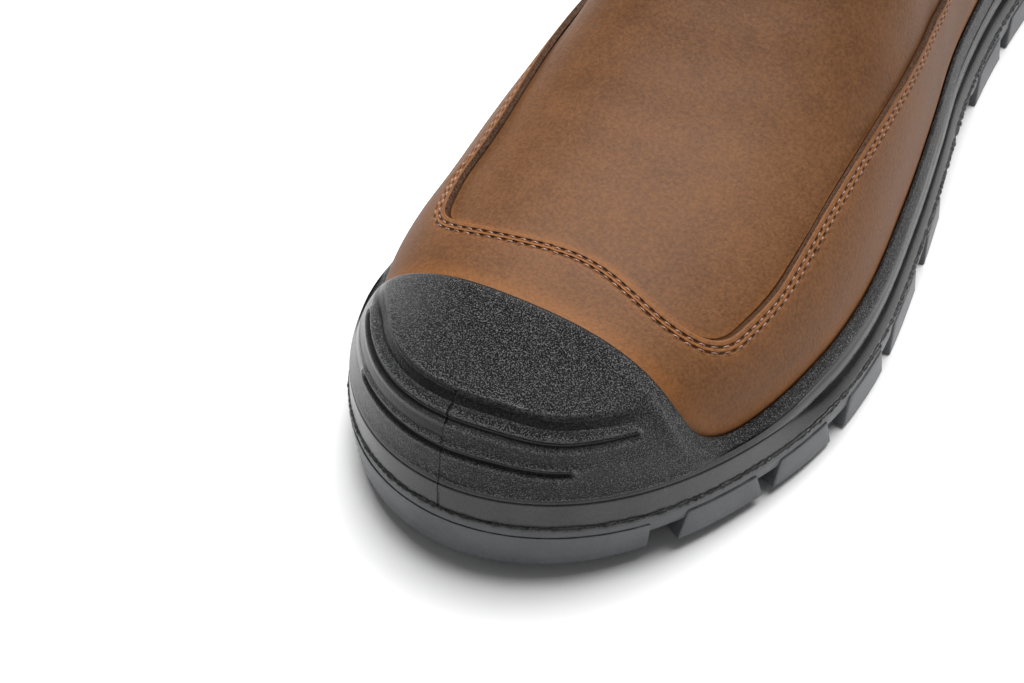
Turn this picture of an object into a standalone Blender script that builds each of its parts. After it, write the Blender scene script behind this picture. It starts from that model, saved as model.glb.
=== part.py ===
# Pull-on work boot for the left foot: a lasted leather upper with elastic sides on a moulded sole.
# The toe points along -Y, the outer side of the foot is +X and the floor is z = 0.
# Sizes are millimetres, measured along the boot from the toe tip, and become metres in each mesh.

import bmesh
import bpy
import numpy as np

MM = 0.001
SHARP_ANGLE = 0.6

# Driving sizes of the sole
LENGTH = 308.0
JOINT_HEIGHT = 12.0
JOINT_SPRING = 6.3
JOINT_SPRING_END = 95.0
TREAD_SPRING = 4.8
TREAD_SPRING_END = 108.0
TOE_ROUND_LATERAL = 88.0
TOE_ROUND_MEDIAL = 70.0
HEEL_ROUND = 44.0
FLOOR_THICKNESS = 4.0
HEEL_RAISE = 6.0
HEEL_RAISE_START = 120.0
HEEL_RAISE_END = 215.0

# Driving sizes of the upper
GAP = 0.3
WALL = 2.0
UPPER_TOE = 8.3
UPPER_HEEL = 300.5
WIDEST_LIFT = 8.0
TUCK = 0.05
TOE_TUCK = 2.0
TUCK_LIMIT = 1.5
LEAST_HALF = 0.5
LEAST_DOME = 0.01
TOE_DOME = 16.0
TOE_DOME_POWER = 2.3
SHAFT_POWER = 2.2
INSTEP_BLEND = 8.0
INSOLE_CLEARANCE = 0.4
GORE_LEVEL = 10
GORE_CLEARANCE = 0.35
GORE_OUTER = -0.1
GORE_INNER = -1.8

# Mudguard and toe bumper
GUARD_INNER = GAP
GUARD_OUTER = 1.8
GUARD_FRONT = 50.0
GUARD_LOBE = 6.0
GUARD_LOBE_START = 5.0
GUARD_LOBE_END = 33.0
GUARD_CORNER = 11.0
BUMPER_INNER = GUARD_OUTER + GAP
BUMPER_FRONT = 33.3
BUMPER_SWEEP = 2.0
BUMPER_SWEEP_WIDTH = 40.0
BUMPER_CORNER = 24.0
BUMPER_EDGE = 2.1
RIM_EDGE = 1.1
BAND_END = 48.0
BAND_FADE = 14.0


def table(columns, *rows):
    """Named columns as arrays, from one row for each section."""
    values = np.array(rows, dtype=float)
    return {name: values[:, i] for i, name in enumerate(columns.split())}


def curve(rows, key, name):
    """Smooth function through one named column of a table."""
    xs = rows[key]
    ys = rows[name]
    slopes = np.gradient(ys, xs)

    def at(x):
        x = np.clip(x, xs[0], xs[-1])
        i = np.clip(np.searchsorted(xs, x) - 1, 0, len(xs) - 2)
        span = xs[i + 1] - xs[i]
        s = (x - xs[i]) / span
        start = (1 + 2 * s) * (1 - s) ** 2 * ys[i] + s * (1 - s) ** 2 * span * slopes[i]
        end = s * s * (3 - 2 * s) * ys[i + 1] - s * s * (1 - s) * span * slopes[i + 1]
        return start + end

    return at


# Half widths of the sole's outline and of the upper at its feather edge, before their ends are rounded
OUTLINE = table(
    "along sole_lateral sole_medial upper_lateral upper_medial",
    (0, 59.0, 52.0, 52.7, 44.2),
    (45, 58.9, 52.0, 52.7, 44.2),
    (70, 60.2, 52.0, 52.7, 44.2),
    (100, 60.9, 52.3, 53.1, 44.5),
    (135, 56.4, 46.5, 48.8, 38.9),
    (165, 50.8, 39.0, 43.6, 31.8),
    (190, 45.6, 36.3, 38.8, 29.5),
    (220, 42.2, 37.6, 35.9, 31.3),
    (250, 41.5, 40.0, 34.5, 33.0),
    (LENGTH, 41.5, 41.0, 34.0, 33.5),
)

# Frontal sections of the foot: height of the crest and how square the section is
SECTIONS = table(
    "along crest square",
    (8, 48.0, 2.3),
    (33, 50.5, 2.3),
    (46, 54.0, 2.2),
    (60, 56.5, 2.15),
    (80, 61.0, 2.1),
    (100, 67.0, 2.1),
    (120, 75.5, 2.15),
    (140, 87.0, 2.2),
    (155, 98.0, 2.15),
    (163, 108.5, 2.0),
    (168, 118.5, 1.9),
    (172, 130.0, 1.9),
    (190, 135.0, 1.9),
    (215, 112.0, 1.9),
    (250, 76.0, 1.9),
    (300, 46.0, 1.9),
)

# Level sections of the heel and shaft
SHAFT = table(
    "height front back lateral medial",
    (15, 226, 299.0, 32.5, 31.0),
    (30, 222, 301.0, 34.5, 33.0),
    (48, 212, 302.5, 36.0, 34.5),
    (70, 200, 299.5, 35.5, 34.5),
    (95, 186, 294.5, 34.5, 33.5),
    (115, 176, 292.5, 34.5, 34.0),
    (140, 173, 292.0, 36.0, 36.0),
    (180, 177, 293.0, 40.0, 40.0),
)

# Rings round the upper from feather edge to collar. Each lies in a tilted plane from its front
# to its back, follows the feather edge by a share, and is cast out from four stations on the spine.
RINGS = table(
    "level front front_height back_height follow nose gore_front gore_back heel",
    (0, 8.3, 21.0, 22.0, 1.0, 63, 130, 205, 262),
    (1, 8.3, 25.0, 26.0, 1.0, 63, 130, 205, 262),
    (2, 8.4, 30.0, 31.0, 1.0, 63, 131, 205, 262),
    (3, 11.5, 41.5, 39.0, 0.8, 65, 134, 206, 262),
    (4, 20, 48.2, 45.0, 0.6, 68, 138, 208, 262),
    (5, 33, 50.5, 50.0, 0.5, 76, 143, 211, 263),
    (6, 46, 54.0, 55.0, 0.4, 88, 150, 215, 263),
    (7, 70, 58.6, 61.0, 0.2, 108, 165, 220, 264),
    (8, 100, 67.0, 69.0, 0.0, 136, 184, 226, 264),
    (9, 130, 81.0, 81.0, 0.0, 163, 204, 236, 265),
    (10, 155, 98.0, 96.0, 0.0, 184, 222, 244, 266),
    (11, 168, 118.5, 115.0, 0.0, 196, 212, 254, 267),
    (12, 173, 142.0, 138.0, 0.0, 199, 207, 260, 268),
    (13, 175.5, 165.0, 161.0, 0.0, 200, 204, 263, 268),
)

# Side of the midsole from the joint up to the groove under the rim
SIDE_STEPS = table(
    "toe_inset side_inset rise",
    (0.0, 0.0, 0.0),
    (0.2, 0.9, 4.0),
    (0.7, 2.4, 7.6),
    (1.6, 3.3, 7.9),
    (1.6, 3.5, 8.8),
)

# Height of the rim and of the mudguard's edge along the two sides of the boot
EDGES = table(
    "along rim lateral medial",
    (0, 23.5, 43.0, 49.2),
    (58, 23.5, 43.0, 49.2),
    (84, 23.5, 47.0, 52.5),
    (110, 23.5, 51.0, 54.0),
    (140, 24.2, 53.8, 55.0),
    (180, 26.0, 54.0, 55.5),
    (240, 28.8, 57.0, 57.5),
    (285, 30.5, 62.0, 62.0),
    (LENGTH, 30.5, 63.0, 63.0),
)

OUTLINE_AT = {name: curve(OUTLINE, "along", name) for name in OUTLINE if name != "along"}
CREST_AT = curve(SECTIONS, "along", "crest")
SQUARE_AT = curve(SECTIONS, "along", "square")
SHAFT_AT = {name: curve(SHAFT, "height", name) for name in SHAFT if name != "height"}
RING_AT = {name: curve(RINGS, "level", name) for name in RINGS if name != "level"}
EDGE_AT = {name: curve(EDGES, "along", name) for name in EDGES if name != "along"}


def round_end(distance, length, power=2.0):
    """Share of the full size at a distance from a rounded end."""
    s = np.clip(distance / length, 0, 1)
    return (1 - (1 - s) ** power) ** (1 / power)


def ease(x, start, end):
    """Smooth step from 0 at the start to 1 at the end."""
    s = np.clip((x - start) / (end - start), 0, 1)
    return s * s * (3 - 2 * s)


def smooth_min(a, b, blend):
    h = np.clip(0.5 + 0.5 * (b - a) / blend, 0, 1)
    return b + (a - b) * h - blend * h * (1 - h)


def joint(along):
    """Height of the line between midsole and outsole."""
    return JOINT_HEIGHT + JOINT_SPRING * np.clip(1 - along / JOINT_SPRING_END, 0, 1) ** 2


def tread(along):
    """Height of the lugs' undersides."""
    return TREAD_SPRING * (1 - ease(along, 0, TREAD_SPRING_END))


def feather(along):
    """Height of the upper's lower edge, where it meets the floor of the midsole."""
    return joint(along) + FLOOR_THICKNESS + HEEL_RAISE * ease(along, HEEL_RAISE_START, HEEL_RAISE_END)


def rounded_half(x, along, piece, toe, heel):
    """Half width on the side of x of the sole or the upper, with its toe and heel rounded."""
    lateral = OUTLINE_AT[piece + "_lateral"](along) * round_end(along - toe, TOE_ROUND_LATERAL - toe)
    medial = OUTLINE_AT[piece + "_medial"](along) * round_end(along - toe, TOE_ROUND_MEDIAL - toe)
    return np.where(x > 0, lateral, medial) * round_end(heel - along, HEEL_ROUND - (LENGTH - heel))


def half_width(x, along):
    """Half width of the sole's outline on the side of x."""
    return rounded_half(x, along, "sole", 0.0, LENGTH)


def sole_gap(x, along):
    """Below 0 inside the sole's outline."""
    return np.maximum(np.abs(x) - half_width(x, along), np.maximum(-along, along - LENGTH))


def foot_gap(x, along, height):
    """Below 0 inside the foot: superelliptic sections from the feather edge up to the crest."""
    widest = feather(along) + WIDEST_LIFT
    dome = round_end(along - UPPER_TOE, TOE_DOME, TOE_DOME_POWER)
    crest = widest + (CREST_AT(along) - widest) * np.maximum(dome, LEAST_DOME)
    sink = np.clip((widest - height) / WIDEST_LIFT, 0, TUCK_LIMIT)
    half = rounded_half(x, along, "upper", UPPER_TOE, UPPER_HEEL) * (1 - TUCK * sink ** 2)
    half = np.maximum(half, LEAST_HALF)
    rise = np.clip((height - widest) / (crest - widest), 0, None)
    power = SQUARE_AT(along)
    radius = ((np.abs(x) / half) ** power + rise ** power) ** (1 / power)
    ends = np.maximum(UPPER_TOE + TOE_TUCK * sink ** 2 - along, along - UPPER_HEEL)
    return np.maximum((radius - 1) * half, ends)


def shaft_gap(x, along, height):
    """Below 0 inside the heel and shaft: superelliptic level sections."""
    front = SHAFT_AT["front"](height)
    back = SHAFT_AT["back"](height)
    half = np.where(x > 0, SHAFT_AT["lateral"](height), SHAFT_AT["medial"](height))
    run = np.abs(along - (front + back) / 2) / ((back - front) / 2)
    radius = ((np.abs(x) / half) ** SHAFT_POWER + run ** SHAFT_POWER) ** (1 / SHAFT_POWER)
    return (radius - 1) * half


def upper_gap(x, along, height):
    return smooth_min(foot_gap(x, along, height), shaft_gap(x, along, height), INSTEP_BLEND)


def ring_height(level, along):
    """Height of a ring above the floor at a place along the boot."""
    front = RING_AT["front"](level)
    start = RING_AT["front_height"](level)
    s = np.clip((along - front) / (UPPER_HEEL - front), 0, 1)
    plane = start + s * (RING_AT["back_height"](level) - start)
    chord = feather(front) + s * (feather(UPPER_HEEL) - feather(front))
    return plane + RING_AT["follow"](level) * (feather(along) - chord)


# Columns of the grid: round the toe, back along the medial side, round the heel, along the lateral side
STATIONS = ("nose", "gore_front", "gore_back", "heel")
FRONT_ARC = 22
BACK_ARC = 12
SIDE_SPLITS = (3, 3, 2)


def side_stations():
    """Share of each station for the columns between nose and heel."""
    shares = []
    for place, splits in enumerate(SIDE_SPLITS):
        for step in range(splits):
            share = np.zeros(len(STATIONS))
            share[place] = 1 - step / splits
            share[place + 1] = step / splits
            shares.append(share)
    return shares[1:]


def grid_columns():
    """Station shares and plan directions of the columns, and each column's partner across the boot."""
    nose = np.array([1.0, 0, 0, 0])
    heel = np.array([0, 0, 0, 1.0])
    side = side_stations()
    shares = []
    turns = []
    for step in range(FRONT_ARC + 1):
        shares.append(nose)
        turns.append(np.pi / 2 - np.pi * step / FRONT_ARC)
    for share in side:
        shares.append(share)
        turns.append(-np.pi / 2)
    for step in range(BACK_ARC + 1):
        shares.append(heel)
        turns.append(-np.pi / 2 - np.pi * step / BACK_ARC)
    for share in reversed(side):
        shares.append(share)
        turns.append(np.pi / 2)
    turns = np.array(turns)
    count = len(turns)
    partner = [(FRONT_ARC - i) % count for i in range(count)]
    return np.array(shares), np.stack([np.sin(turns), -np.cos(turns)], -1), partner


SHARES, DIRECTIONS, PARTNER = grid_columns()
COLUMN_COUNT = len(PARTNER)
REACH = 120.0
HALVINGS = 40


def origins(level):
    """Place on the spine that each column is cast from."""
    return sum(SHARES[:, i] * RING_AT[name](level) for i, name in enumerate(STATIONS))


def cast(level, inside):
    """Plan distance from the spine to where a test stops being true, by halving."""
    start = origins(level)
    near = np.zeros(np.shape(start))
    far = np.full(np.shape(start), REACH)
    for _ in range(HALVINGS):
        middle = (near + far) / 2
        hit = inside(middle * DIRECTIONS[:, 0], start + middle * DIRECTIONS[:, 1])
        near = np.where(hit, middle, near)
        far = np.where(hit, far, middle)
    return near * DIRECTIONS[:, 0], start + near * DIRECTIONS[:, 1]


def on_upper(level):
    """Points of the upper's outer face at a level, which may differ from column to column."""
    x, along = cast(level, lambda x, along: upper_gap(x, along, ring_height(level, along)) < 0)
    return np.stack([x, along, ring_height(level, along)], -1)


def slope(gap, points):
    """Unit normals of a form at some points, from its differences."""
    step = 0.05
    parts = []
    for axis in range(points.shape[-1]):
        shift = np.zeros(points.shape[-1])
        shift[axis] = step
        ahead = gap(*np.moveaxis(points + shift, -1, 0))
        behind = gap(*np.moveaxis(points - shift, -1, 0))
        parts.append(ahead - behind)
    normals = np.stack(parts, -1)
    return normals / np.linalg.norm(normals, axis=-1, keepdims=True)


def wrap_level(covers):
    """Level of each column where a wrap over the toe and sides ends."""
    near = np.zeros(COLUMN_COUNT)
    far = np.full(COLUMN_COUNT, float(GORE_LEVEL))
    for _ in range(HALVINGS):
        middle = (near + far) / 2
        hit = covers(*on_upper(middle).T)
        near = np.where(hit, middle, near)
        far = np.where(hit, far, middle)
    return near


def under_bumper(x, along, height):
    """True under the toe bumper and under the rim along the sides."""
    front = BUMPER_FRONT + BUMPER_SWEEP * (x / BUMPER_SWEEP_WIDTH) ** 2
    return smooth_min(along - front, height - EDGE_AT["rim"](along), BUMPER_CORNER) < 0


def under_guard(x, along, height):
    """True under the mudguard, whose front edge bows forward on the lateral side."""
    front = GUARD_FRONT - GUARD_LOBE * ease(x, GUARD_LOBE_START, GUARD_LOBE_END)
    side = np.where(x > 0, EDGE_AT["lateral"](along), EDGE_AT["medial"](along))
    return smooth_min(along - front, height - side, GUARD_CORNER) < 0


# Rows of the grid: up to the rim, up to the mudguard's edge, up to the gores and up to the collar
RIM_ROWS = 7
GUARD_ROWS = 2
VAMP_ROWS = 6
COLLAR_ROWS = 5
TOP_LEVEL = 13.0


def grid_levels():
    rim = wrap_level(under_bumper)
    guard = wrap_level(under_guard)
    levels = [rim * i / RIM_ROWS for i in range(RIM_ROWS)]
    levels += [rim + (guard - rim) * i / GUARD_ROWS for i in range(GUARD_ROWS)]
    levels += [guard + (GORE_LEVEL - guard) * i / VAMP_ROWS for i in range(VAMP_ROWS)]
    levels += [np.full(COLUMN_COUNT, GORE_LEVEL + (TOP_LEVEL - GORE_LEVEL) * i / COLLAR_ROWS)
               for i in range(COLLAR_ROWS + 1)]
    return levels


LEVELS = grid_levels()
RIM_ROW = RIM_ROWS
GUARD_ROW = RIM_ROWS + GUARD_ROWS
GORE_ROW = GUARD_ROW + VAMP_ROWS
FACE = [on_upper(level) for level in LEVELS]
NORMAL = [slope(upper_gap, points) for points in FACE]
LATERAL_REACH = max(half_width(1, along) for along in range(int(LENGTH)))
MEDIAL_REACH = max(half_width(-1, along) for along in range(int(LENGTH)))
MIDDLE = (LATERAL_REACH - MEDIAL_REACH) / 2


def offset(row, distance):
    """Row of the grid moved out from the upper's outer face."""
    return FACE[row] + NORMAL[row] * distance


def new_mesh_object(name, fill, colour, roughness, collection):
    """Object with a mesh that a function fills, and its own material."""
    mesh = bpy.data.meshes.new(name)
    work = bmesh.new()
    fill(work)
    bmesh.ops.recalc_face_normals(work, faces=work.faces)
    work.to_mesh(mesh)
    work.free()
    mesh.shade_smooth()
    mesh.set_sharp_from_angle(angle=SHARP_ANGLE)
    material = bpy.data.materials.new(name)
    material.use_nodes = True
    shader = material.node_tree.nodes["Principled BSDF"]
    shader.inputs["Base Color"].default_value = (*colour, 1.0)
    shader.inputs["Roughness"].default_value = roughness
    shader.inputs["Metallic"].default_value = 0.0
    mesh.materials.append(material)
    thing = bpy.data.objects.new(name, mesh)
    collection.objects.link(thing)
    return thing


def new_row(work, points):
    """Vertices of one row, moved to the part's origin under the middle of the boot."""
    centre = np.array([MIDDLE, LENGTH / 2, 0.0])
    return [work.verts.new(tuple((point - centre) * MM)) for point in points]


def add_quad(work, a, b, c, d):
    """Two triangles, always split from a to c, so that walls side by side stay parallel."""
    work.faces.new((a, b, c))
    work.faces.new((a, c, d))


def join_rows(work, lower, upper, closed=True):
    """Band of faces between two rows of vertices."""
    count = len(lower)
    for i in range(count if closed else count - 1):
        j = (i + 1) % count
        add_quad(work, lower[i], lower[j], upper[j], upper[i])


def close_row(work, row):
    """Cover a row with rungs between each column and its partner across the boot."""
    tip = FRONT_ARC // 2
    end = tip + COLUMN_COUNT // 2 - 1
    work.faces.new((row[tip], row[tip + 1], row[PARTNER[tip + 1]]))
    for i in range(tip + 1, end):
        add_quad(work, row[i], row[i + 1], row[PARTNER[i + 1]], row[PARTNER[i]])
    work.faces.new((row[end], row[end + 1], row[PARTNER[end]]))


def stack_rows(work, rows):
    """Rows of vertices joined one above the other."""
    lines = [new_row(work, row) for row in rows]
    for lower, upper in zip(lines, lines[1:]):
        join_rows(work, lower, upper)
    return lines


def fill_wall(work, outer, inner):
    """Wall between two faces whose rows run upwards, open above and below."""
    outer = stack_rows(work, outer)
    inner = stack_rows(work, inner)
    join_rows(work, outer[0], inner[0])
    join_rows(work, outer[-1], inner[-1])


def fill_block(work, rows):
    """Solid whose lowest and highest rows are covered."""
    lines = stack_rows(work, rows)
    close_row(work, lines[0])
    close_row(work, lines[-1])


# Columns on each side between the two edges of a gore
MEDIAL_GORE = range(FRONT_ARC + SIDE_SPLITS[0], FRONT_ARC + SIDE_SPLITS[0] + SIDE_SPLITS[1] + 1)
LATERAL_GORE = [PARTNER[i] for i in reversed(MEDIAL_GORE)]


def fill_upper(work):
    """Hollow shell, open at the collar, underneath and where the two gores are set in."""
    outer = [new_row(work, offset(row, 0.0)) for row in range(len(FACE))]
    inner = [new_row(work, offset(row, -WALL)) for row in range(len(FACE))]
    gore_columns = set(MEDIAL_GORE[:-1]) | set(LATERAL_GORE[:-1])
    top = len(FACE) - 1
    for i in range(COLUMN_COUNT):
        j = (i + 1) % COLUMN_COUNT
        last = GORE_ROW if i in gore_columns else top
        for row in range(last):
            for face in (outer, inner):
                add_quad(work, face[row][i], face[row][j], face[row + 1][j], face[row + 1][i])
        for row in (0, last):
            add_quad(work, outer[row][i], outer[row][j], inner[row][j], inner[row][i])
    for gore in (MEDIAL_GORE, LATERAL_GORE):
        for i in (gore[0], gore[-1]):
            for row in range(GORE_ROW, top):
                add_quad(work, outer[row][i], outer[row + 1][i], inner[row + 1][i], inner[row][i])


def drawn_in(points):
    """Grid of points whose outer rows and columns, but for the top row, stand clear of the cut-out."""
    moved = points.copy()

    def pull(edge, beside):
        step = beside - edge
        return edge + step * GORE_CLEARANCE / np.linalg.norm(step, axis=-1, keepdims=True)

    moved[:, 0] = pull(points[:, 0], points[:, 1])
    moved[:, -1] = pull(points[:, -1], points[:, -2])
    moved[0] = moved[0] + pull(points[0], points[1]) - points[0]
    return moved


def fill_gore(work, columns):
    """Elastic panel set into its cut-out, a little thinner than the leather."""
    rows = range(GORE_ROW, len(FACE))
    columns = list(columns)
    faces = []
    for distance in (GORE_OUTER, GORE_INNER):
        points = drawn_in(np.array([offset(row, distance)[columns] for row in rows]))
        faces.append([new_row(work, line) for line in points])
    outer, inner = faces
    for sheet in faces:
        for lower, upper in zip(sheet, sheet[1:]):
            join_rows(work, lower, upper, closed=False)
    join_rows(work, outer[0], inner[0], closed=False)
    join_rows(work, outer[-1], inner[-1], closed=False)
    for i in (0, -1):
        join_rows(work, [line[i] for line in outer], [line[i] for line in inner], closed=False)


def fill_guard(work):
    """Leather wrap cut between two forms outside the upper."""
    rows = range(GUARD_ROW + 1)
    outer = [offset(row, GUARD_OUTER) for row in rows]
    inner = [offset(row, GUARD_INNER) for row in rows]
    fill_wall(work, outer, inner)


def sole_row(inset, height):
    """Row round the sole's outline, set in by a distance that may differ from column to column."""
    x, along = cast(0, lambda x, along: sole_gap(x, along) < 0)
    edge = np.stack([x, along], -1)
    plan = edge - slope(sole_gap, edge) * np.reshape(inset, (-1, 1))
    return np.column_stack([plan, height(along)])


# Ribs round the toe bumper: height above the joint and how far back along the boot each runs
RIBS = table(
    "rise end",
    (16.0, 14.0),
    (23.0, 25.0),
    (29.0, 22.5),
)
RIB_HALF_WIDTH = 1.3
RIB_HEIGHT = 0.9
RIB_FADE = 4.0
BUMPER_ROWS = 13
BUMPER_SPACING = 0.6
GROOVE_STEP = 0.8
LEAST_RIM = 0.15
COVER_RISE = 20.0


def rise_level(rise):
    """Level of each column at a height above the joint."""
    return wrap_level(lambda x, along, height: height < joint(along) + rise)


def bumper_levels(low, rim):
    """Levels of the bumper's rows, which hold to the ribs where the bumper is high enough."""
    spread = [low + (rim - low) * (i / BUMPER_ROWS) ** BUMPER_SPACING for i in range(1, BUMPER_ROWS + 1)]
    crests = {}
    for rib, rise in enumerate(RIBS["rise"]):
        for part_of_rib in (-1, 0, 1):
            row = 3 * rib + part_of_rib + 1
            level = rise_level(rise + part_of_rib * RIB_HALF_WIDTH)
            spread[row] = np.minimum(spread[row], level)
        crests[3 * rib + 1] = rib
    return spread, crests


def bumper_rows():
    """Outer face of the midsole: stepped side, then the ribbed bumper and the rim over the wrap."""
    _, along = cast(0, lambda x, along: sole_gap(x, along) < 0)
    toe = ease(along, BAND_END, BAND_END - BAND_FADE)
    rows = []
    for toe_inset, side_inset, rise in zip(*SIDE_STEPS.values()):
        inset = side_inset + (toe_inset - side_inset) * toe
        rows.append(sole_row(inset, lambda place, rise=rise: joint(place) + rise))
    groove = rows[-1]
    rim = LEVELS[RIM_ROW]
    low = np.minimum(rise_level(SIDE_STEPS["rise"][-1] + GROOVE_STEP), rim - LEAST_RIM)
    start = np.linalg.norm((groove - on_upper(low))[:, :2], axis=-1)
    side_rim = EDGE_AT["rim"](0)
    cover = ease(FACE[RIM_ROW][:, 2], side_rim, side_rim + COVER_RISE)
    end = BUMPER_INNER + RIM_EDGE + (BUMPER_EDGE - RIM_EDGE) * cover
    levels, crests = bumper_levels(low, rim)
    for row, level in enumerate(levels):
        points = on_upper(level)
        thick = start + (end - start) * (level - low) / (rim - low)
        if row in crests:
            reach = RIBS["end"][crests[row]]
            thick = thick + RIB_HEIGHT * ease(points[:, 1], reach, reach - RIB_FADE)
        rows.append(points + slope(upper_gap, points) * thick[:, None])
    return rows


def fill_midsole(work):
    """Cup with the bumper and rim round it, whose floor carries the upper and the insole."""
    inside = [offset(row, BUMPER_INNER) for row in range(RIM_ROW + 1)]
    inside[0][:, 2] -= GAP
    outer = stack_rows(work, bumper_rows())
    inner = stack_rows(work, inside)
    join_rows(work, outer[-1], inner[-1])
    close_row(work, outer[0])
    close_row(work, inner[0])


def fill_insole(work):
    levels = (np.zeros(COLUMN_COUNT), np.ones(COLUMN_COUNT))
    rows = []
    for level in levels:
        points = on_upper(level)
        rows.append(points - slope(upper_gap, points) * (WALL + INSOLE_CLEARANCE))
    fill_block(work, rows)


# Outsole
PLATE_TOP_BAND = 3.0
PLATE_TAPER = 0.8
TREAD_DEPTH = 5.5
LUG_SINK = 1.5
LUG_LEDGE = 0.4
LUG_FLARE = 0.5
LUG_END_FLARE = 1.2
LUG_WIDTH = 16.0
END_LUG_WIDTH = 13.0
ARCH_START = 163.0
ARCH_END = 205.0
ARCH_HEIGHT = 8.5
ARCH_SLOPE = 8.0
ARCH_BREAST = 4.5

# Lugs along each side of the sole, from front to back
SIDE_LUGS = table(
    "start end",
    (30.5, 48.5),
    (56, 72.5),
    (82.5, 100.5),
    (110, 130),
    (143.5, 157.5),
    (207, 225),
    (234, 251),
    (260, 276),
)
TOE_LUG_END = 22.5
HEEL_LUG_START = 286.0
TOE_LUG_TUCK = -3.0

# Chevron lugs in the middle of the sole: place of the point, half span and arm width
CHEVRONS = table(
    "point span arm",
    (35, 17, 9),
    (56, 27, 9),
    (82, 32, 10),
    (109, 30, 10),
    (136, 22, 9),
    (222, 17, 8),
    (245, 19, 8),
    (268, 17, 8),
)
CHEVRON_DROP = 9.0


def fill_plate(work):
    """Plate of the outsole, down to the bottom of the tread's grooves."""
    top = sole_row(0.0, lambda along: joint(along) - GAP)
    band = sole_row(0.0, lambda along: joint(along) - PLATE_TOP_BAND)
    low = sole_row(PLATE_TAPER, lambda along: tread(along) + TREAD_DEPTH)
    fill_block(work, [low, band, top])


def add_prism(work, top, bottom):
    """Closed prism between two outlines of as many points."""
    upper = new_row(work, top)
    lower = new_row(work, bottom)
    join_rows(work, lower, upper)
    work.faces.new(upper)
    work.faces.new(lower[::-1])


def edge_point(along, side, out):
    """Point on the sole's outline on one side, moved outwards in plan."""
    along = np.clip(along, 0.02, LENGTH - 0.02)
    point = np.array([side * half_width(side, along), along])
    return point + slope(sole_gap, point[None])[0] * out


def lug_outline(places, sides, out, depth):
    """Outline of a lug: out along the sole's edge and back along a line set in from it."""
    outer = [edge_point(along, side, out) for along, side in zip(places, sides)]
    inner = [edge_point(along, side, -depth) for along, side in zip(places, sides)]
    return np.array(outer + inner[::-1])


def add_edge_lug(work, places, sides, flare, depth, spread=0.0):
    """Lug on the sole's edge, from just under the joint down to the tread, wider below."""
    top = lug_outline(places, sides, LUG_LEDGE, depth)
    middle = np.mean(places)
    wider = middle + (places - middle) * (1 + spread / (places[-1] - middle + 1e-9))
    bottom = lug_outline(wider, sides, flare, depth)
    top = np.column_stack([top, joint(top[:, 1]) - PLATE_TOP_BAND])
    bottom = np.column_stack([bottom, tread(bottom[:, 1])])
    add_prism(work, top, bottom)


def add_chevron(work, point, span, arm):
    plan = np.array([
        (0.0, point),
        (span, point + CHEVRON_DROP),
        (span, point + CHEVRON_DROP + arm),
        (0.0, point + arm),
        (-span, point + CHEVRON_DROP + arm),
        (-span, point + CHEVRON_DROP),
    ])
    plan[:, 0] += chevron_shift(point)
    top = np.column_stack([plan, tread(plan[:, 1]) + TREAD_DEPTH + LUG_SINK])
    bottom = np.column_stack([plan, tread(plan[:, 1])])
    add_prism(work, top, bottom)


def chevron_shift(along):
    """Middle of the sole at a place along it."""
    lateral = half_width(1, along)
    medial = half_width(-1, along)
    return (lateral - medial) / 2


def fill_lugs(work):
    for start, end in zip(*SIDE_LUGS.values()):
        for side in (1, -1):
            places = np.linspace(start, end, 3)
            add_edge_lug(work, places, [side] * 3, LUG_FLARE, LUG_WIDTH, LUG_END_FLARE)
    toe = TOE_LUG_END * np.linspace(1, 0, 5) ** 2
    heel = LENGTH - (LENGTH - HEEL_LUG_START) * np.linspace(1, 0, 5) ** 2
    for places, flare in ((toe, TOE_LUG_TUCK), (heel, LUG_LEDGE)):
        both = np.concatenate([places, places[-2::-1]])
        sides = [1] * len(places) + [-1] * (len(places) - 1)
        add_edge_lug(work, both, sides, flare, END_LUG_WIDTH)
    for point, span, arm in zip(*CHEVRONS.values()):
        add_chevron(work, point, span, arm)


def fill_arch(work):
    """Block that hollows the sole under the arch, in front of the heel."""
    reach = 2 * LENGTH / 3
    profile = np.array([
        (ARCH_START, -ARCH_HEIGHT),
        (ARCH_START, ARCH_BREAST),
        (ARCH_START + ARCH_SLOPE, ARCH_HEIGHT),
        (ARCH_END - ARCH_SLOPE, ARCH_HEIGHT),
        (ARCH_END, ARCH_BREAST),
        (ARCH_END, -ARCH_HEIGHT),
    ])
    near = np.column_stack([np.full(len(profile), -reach), profile])
    far = np.column_stack([np.full(len(profile), reach), profile])
    add_prism(work, near, far)


SHAFT_SEARCH = 40.0


def back_face(x, height, distance):
    """Place along the boot of the back of the shaft, moved out by a distance."""
    near = SHAFT_AT["front"](height) + SHAFT_SEARCH
    far = LENGTH
    for _ in range(HALVINGS):
        middle = (near + far) / 2
        if upper_gap(np.array(x), np.array(middle), np.array(height)) < 0:
            near = middle
        else:
            far = middle
    return near + distance


# Pull loop at the back of the collar
LOOP_WIDTH = 22.0
LOOP_THICKNESS = 1.6
LOOP_FOOT = 128.0
LOOP_BEND = 170.0
LOOP_SPREAD = 12.0
LOOP_RISE = 20.0
LOOP_STEPS = 8
LOOP_LEG_STEPS = 4
LOOP_LINING = 0.2
LOOP_ACROSS = 5


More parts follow.
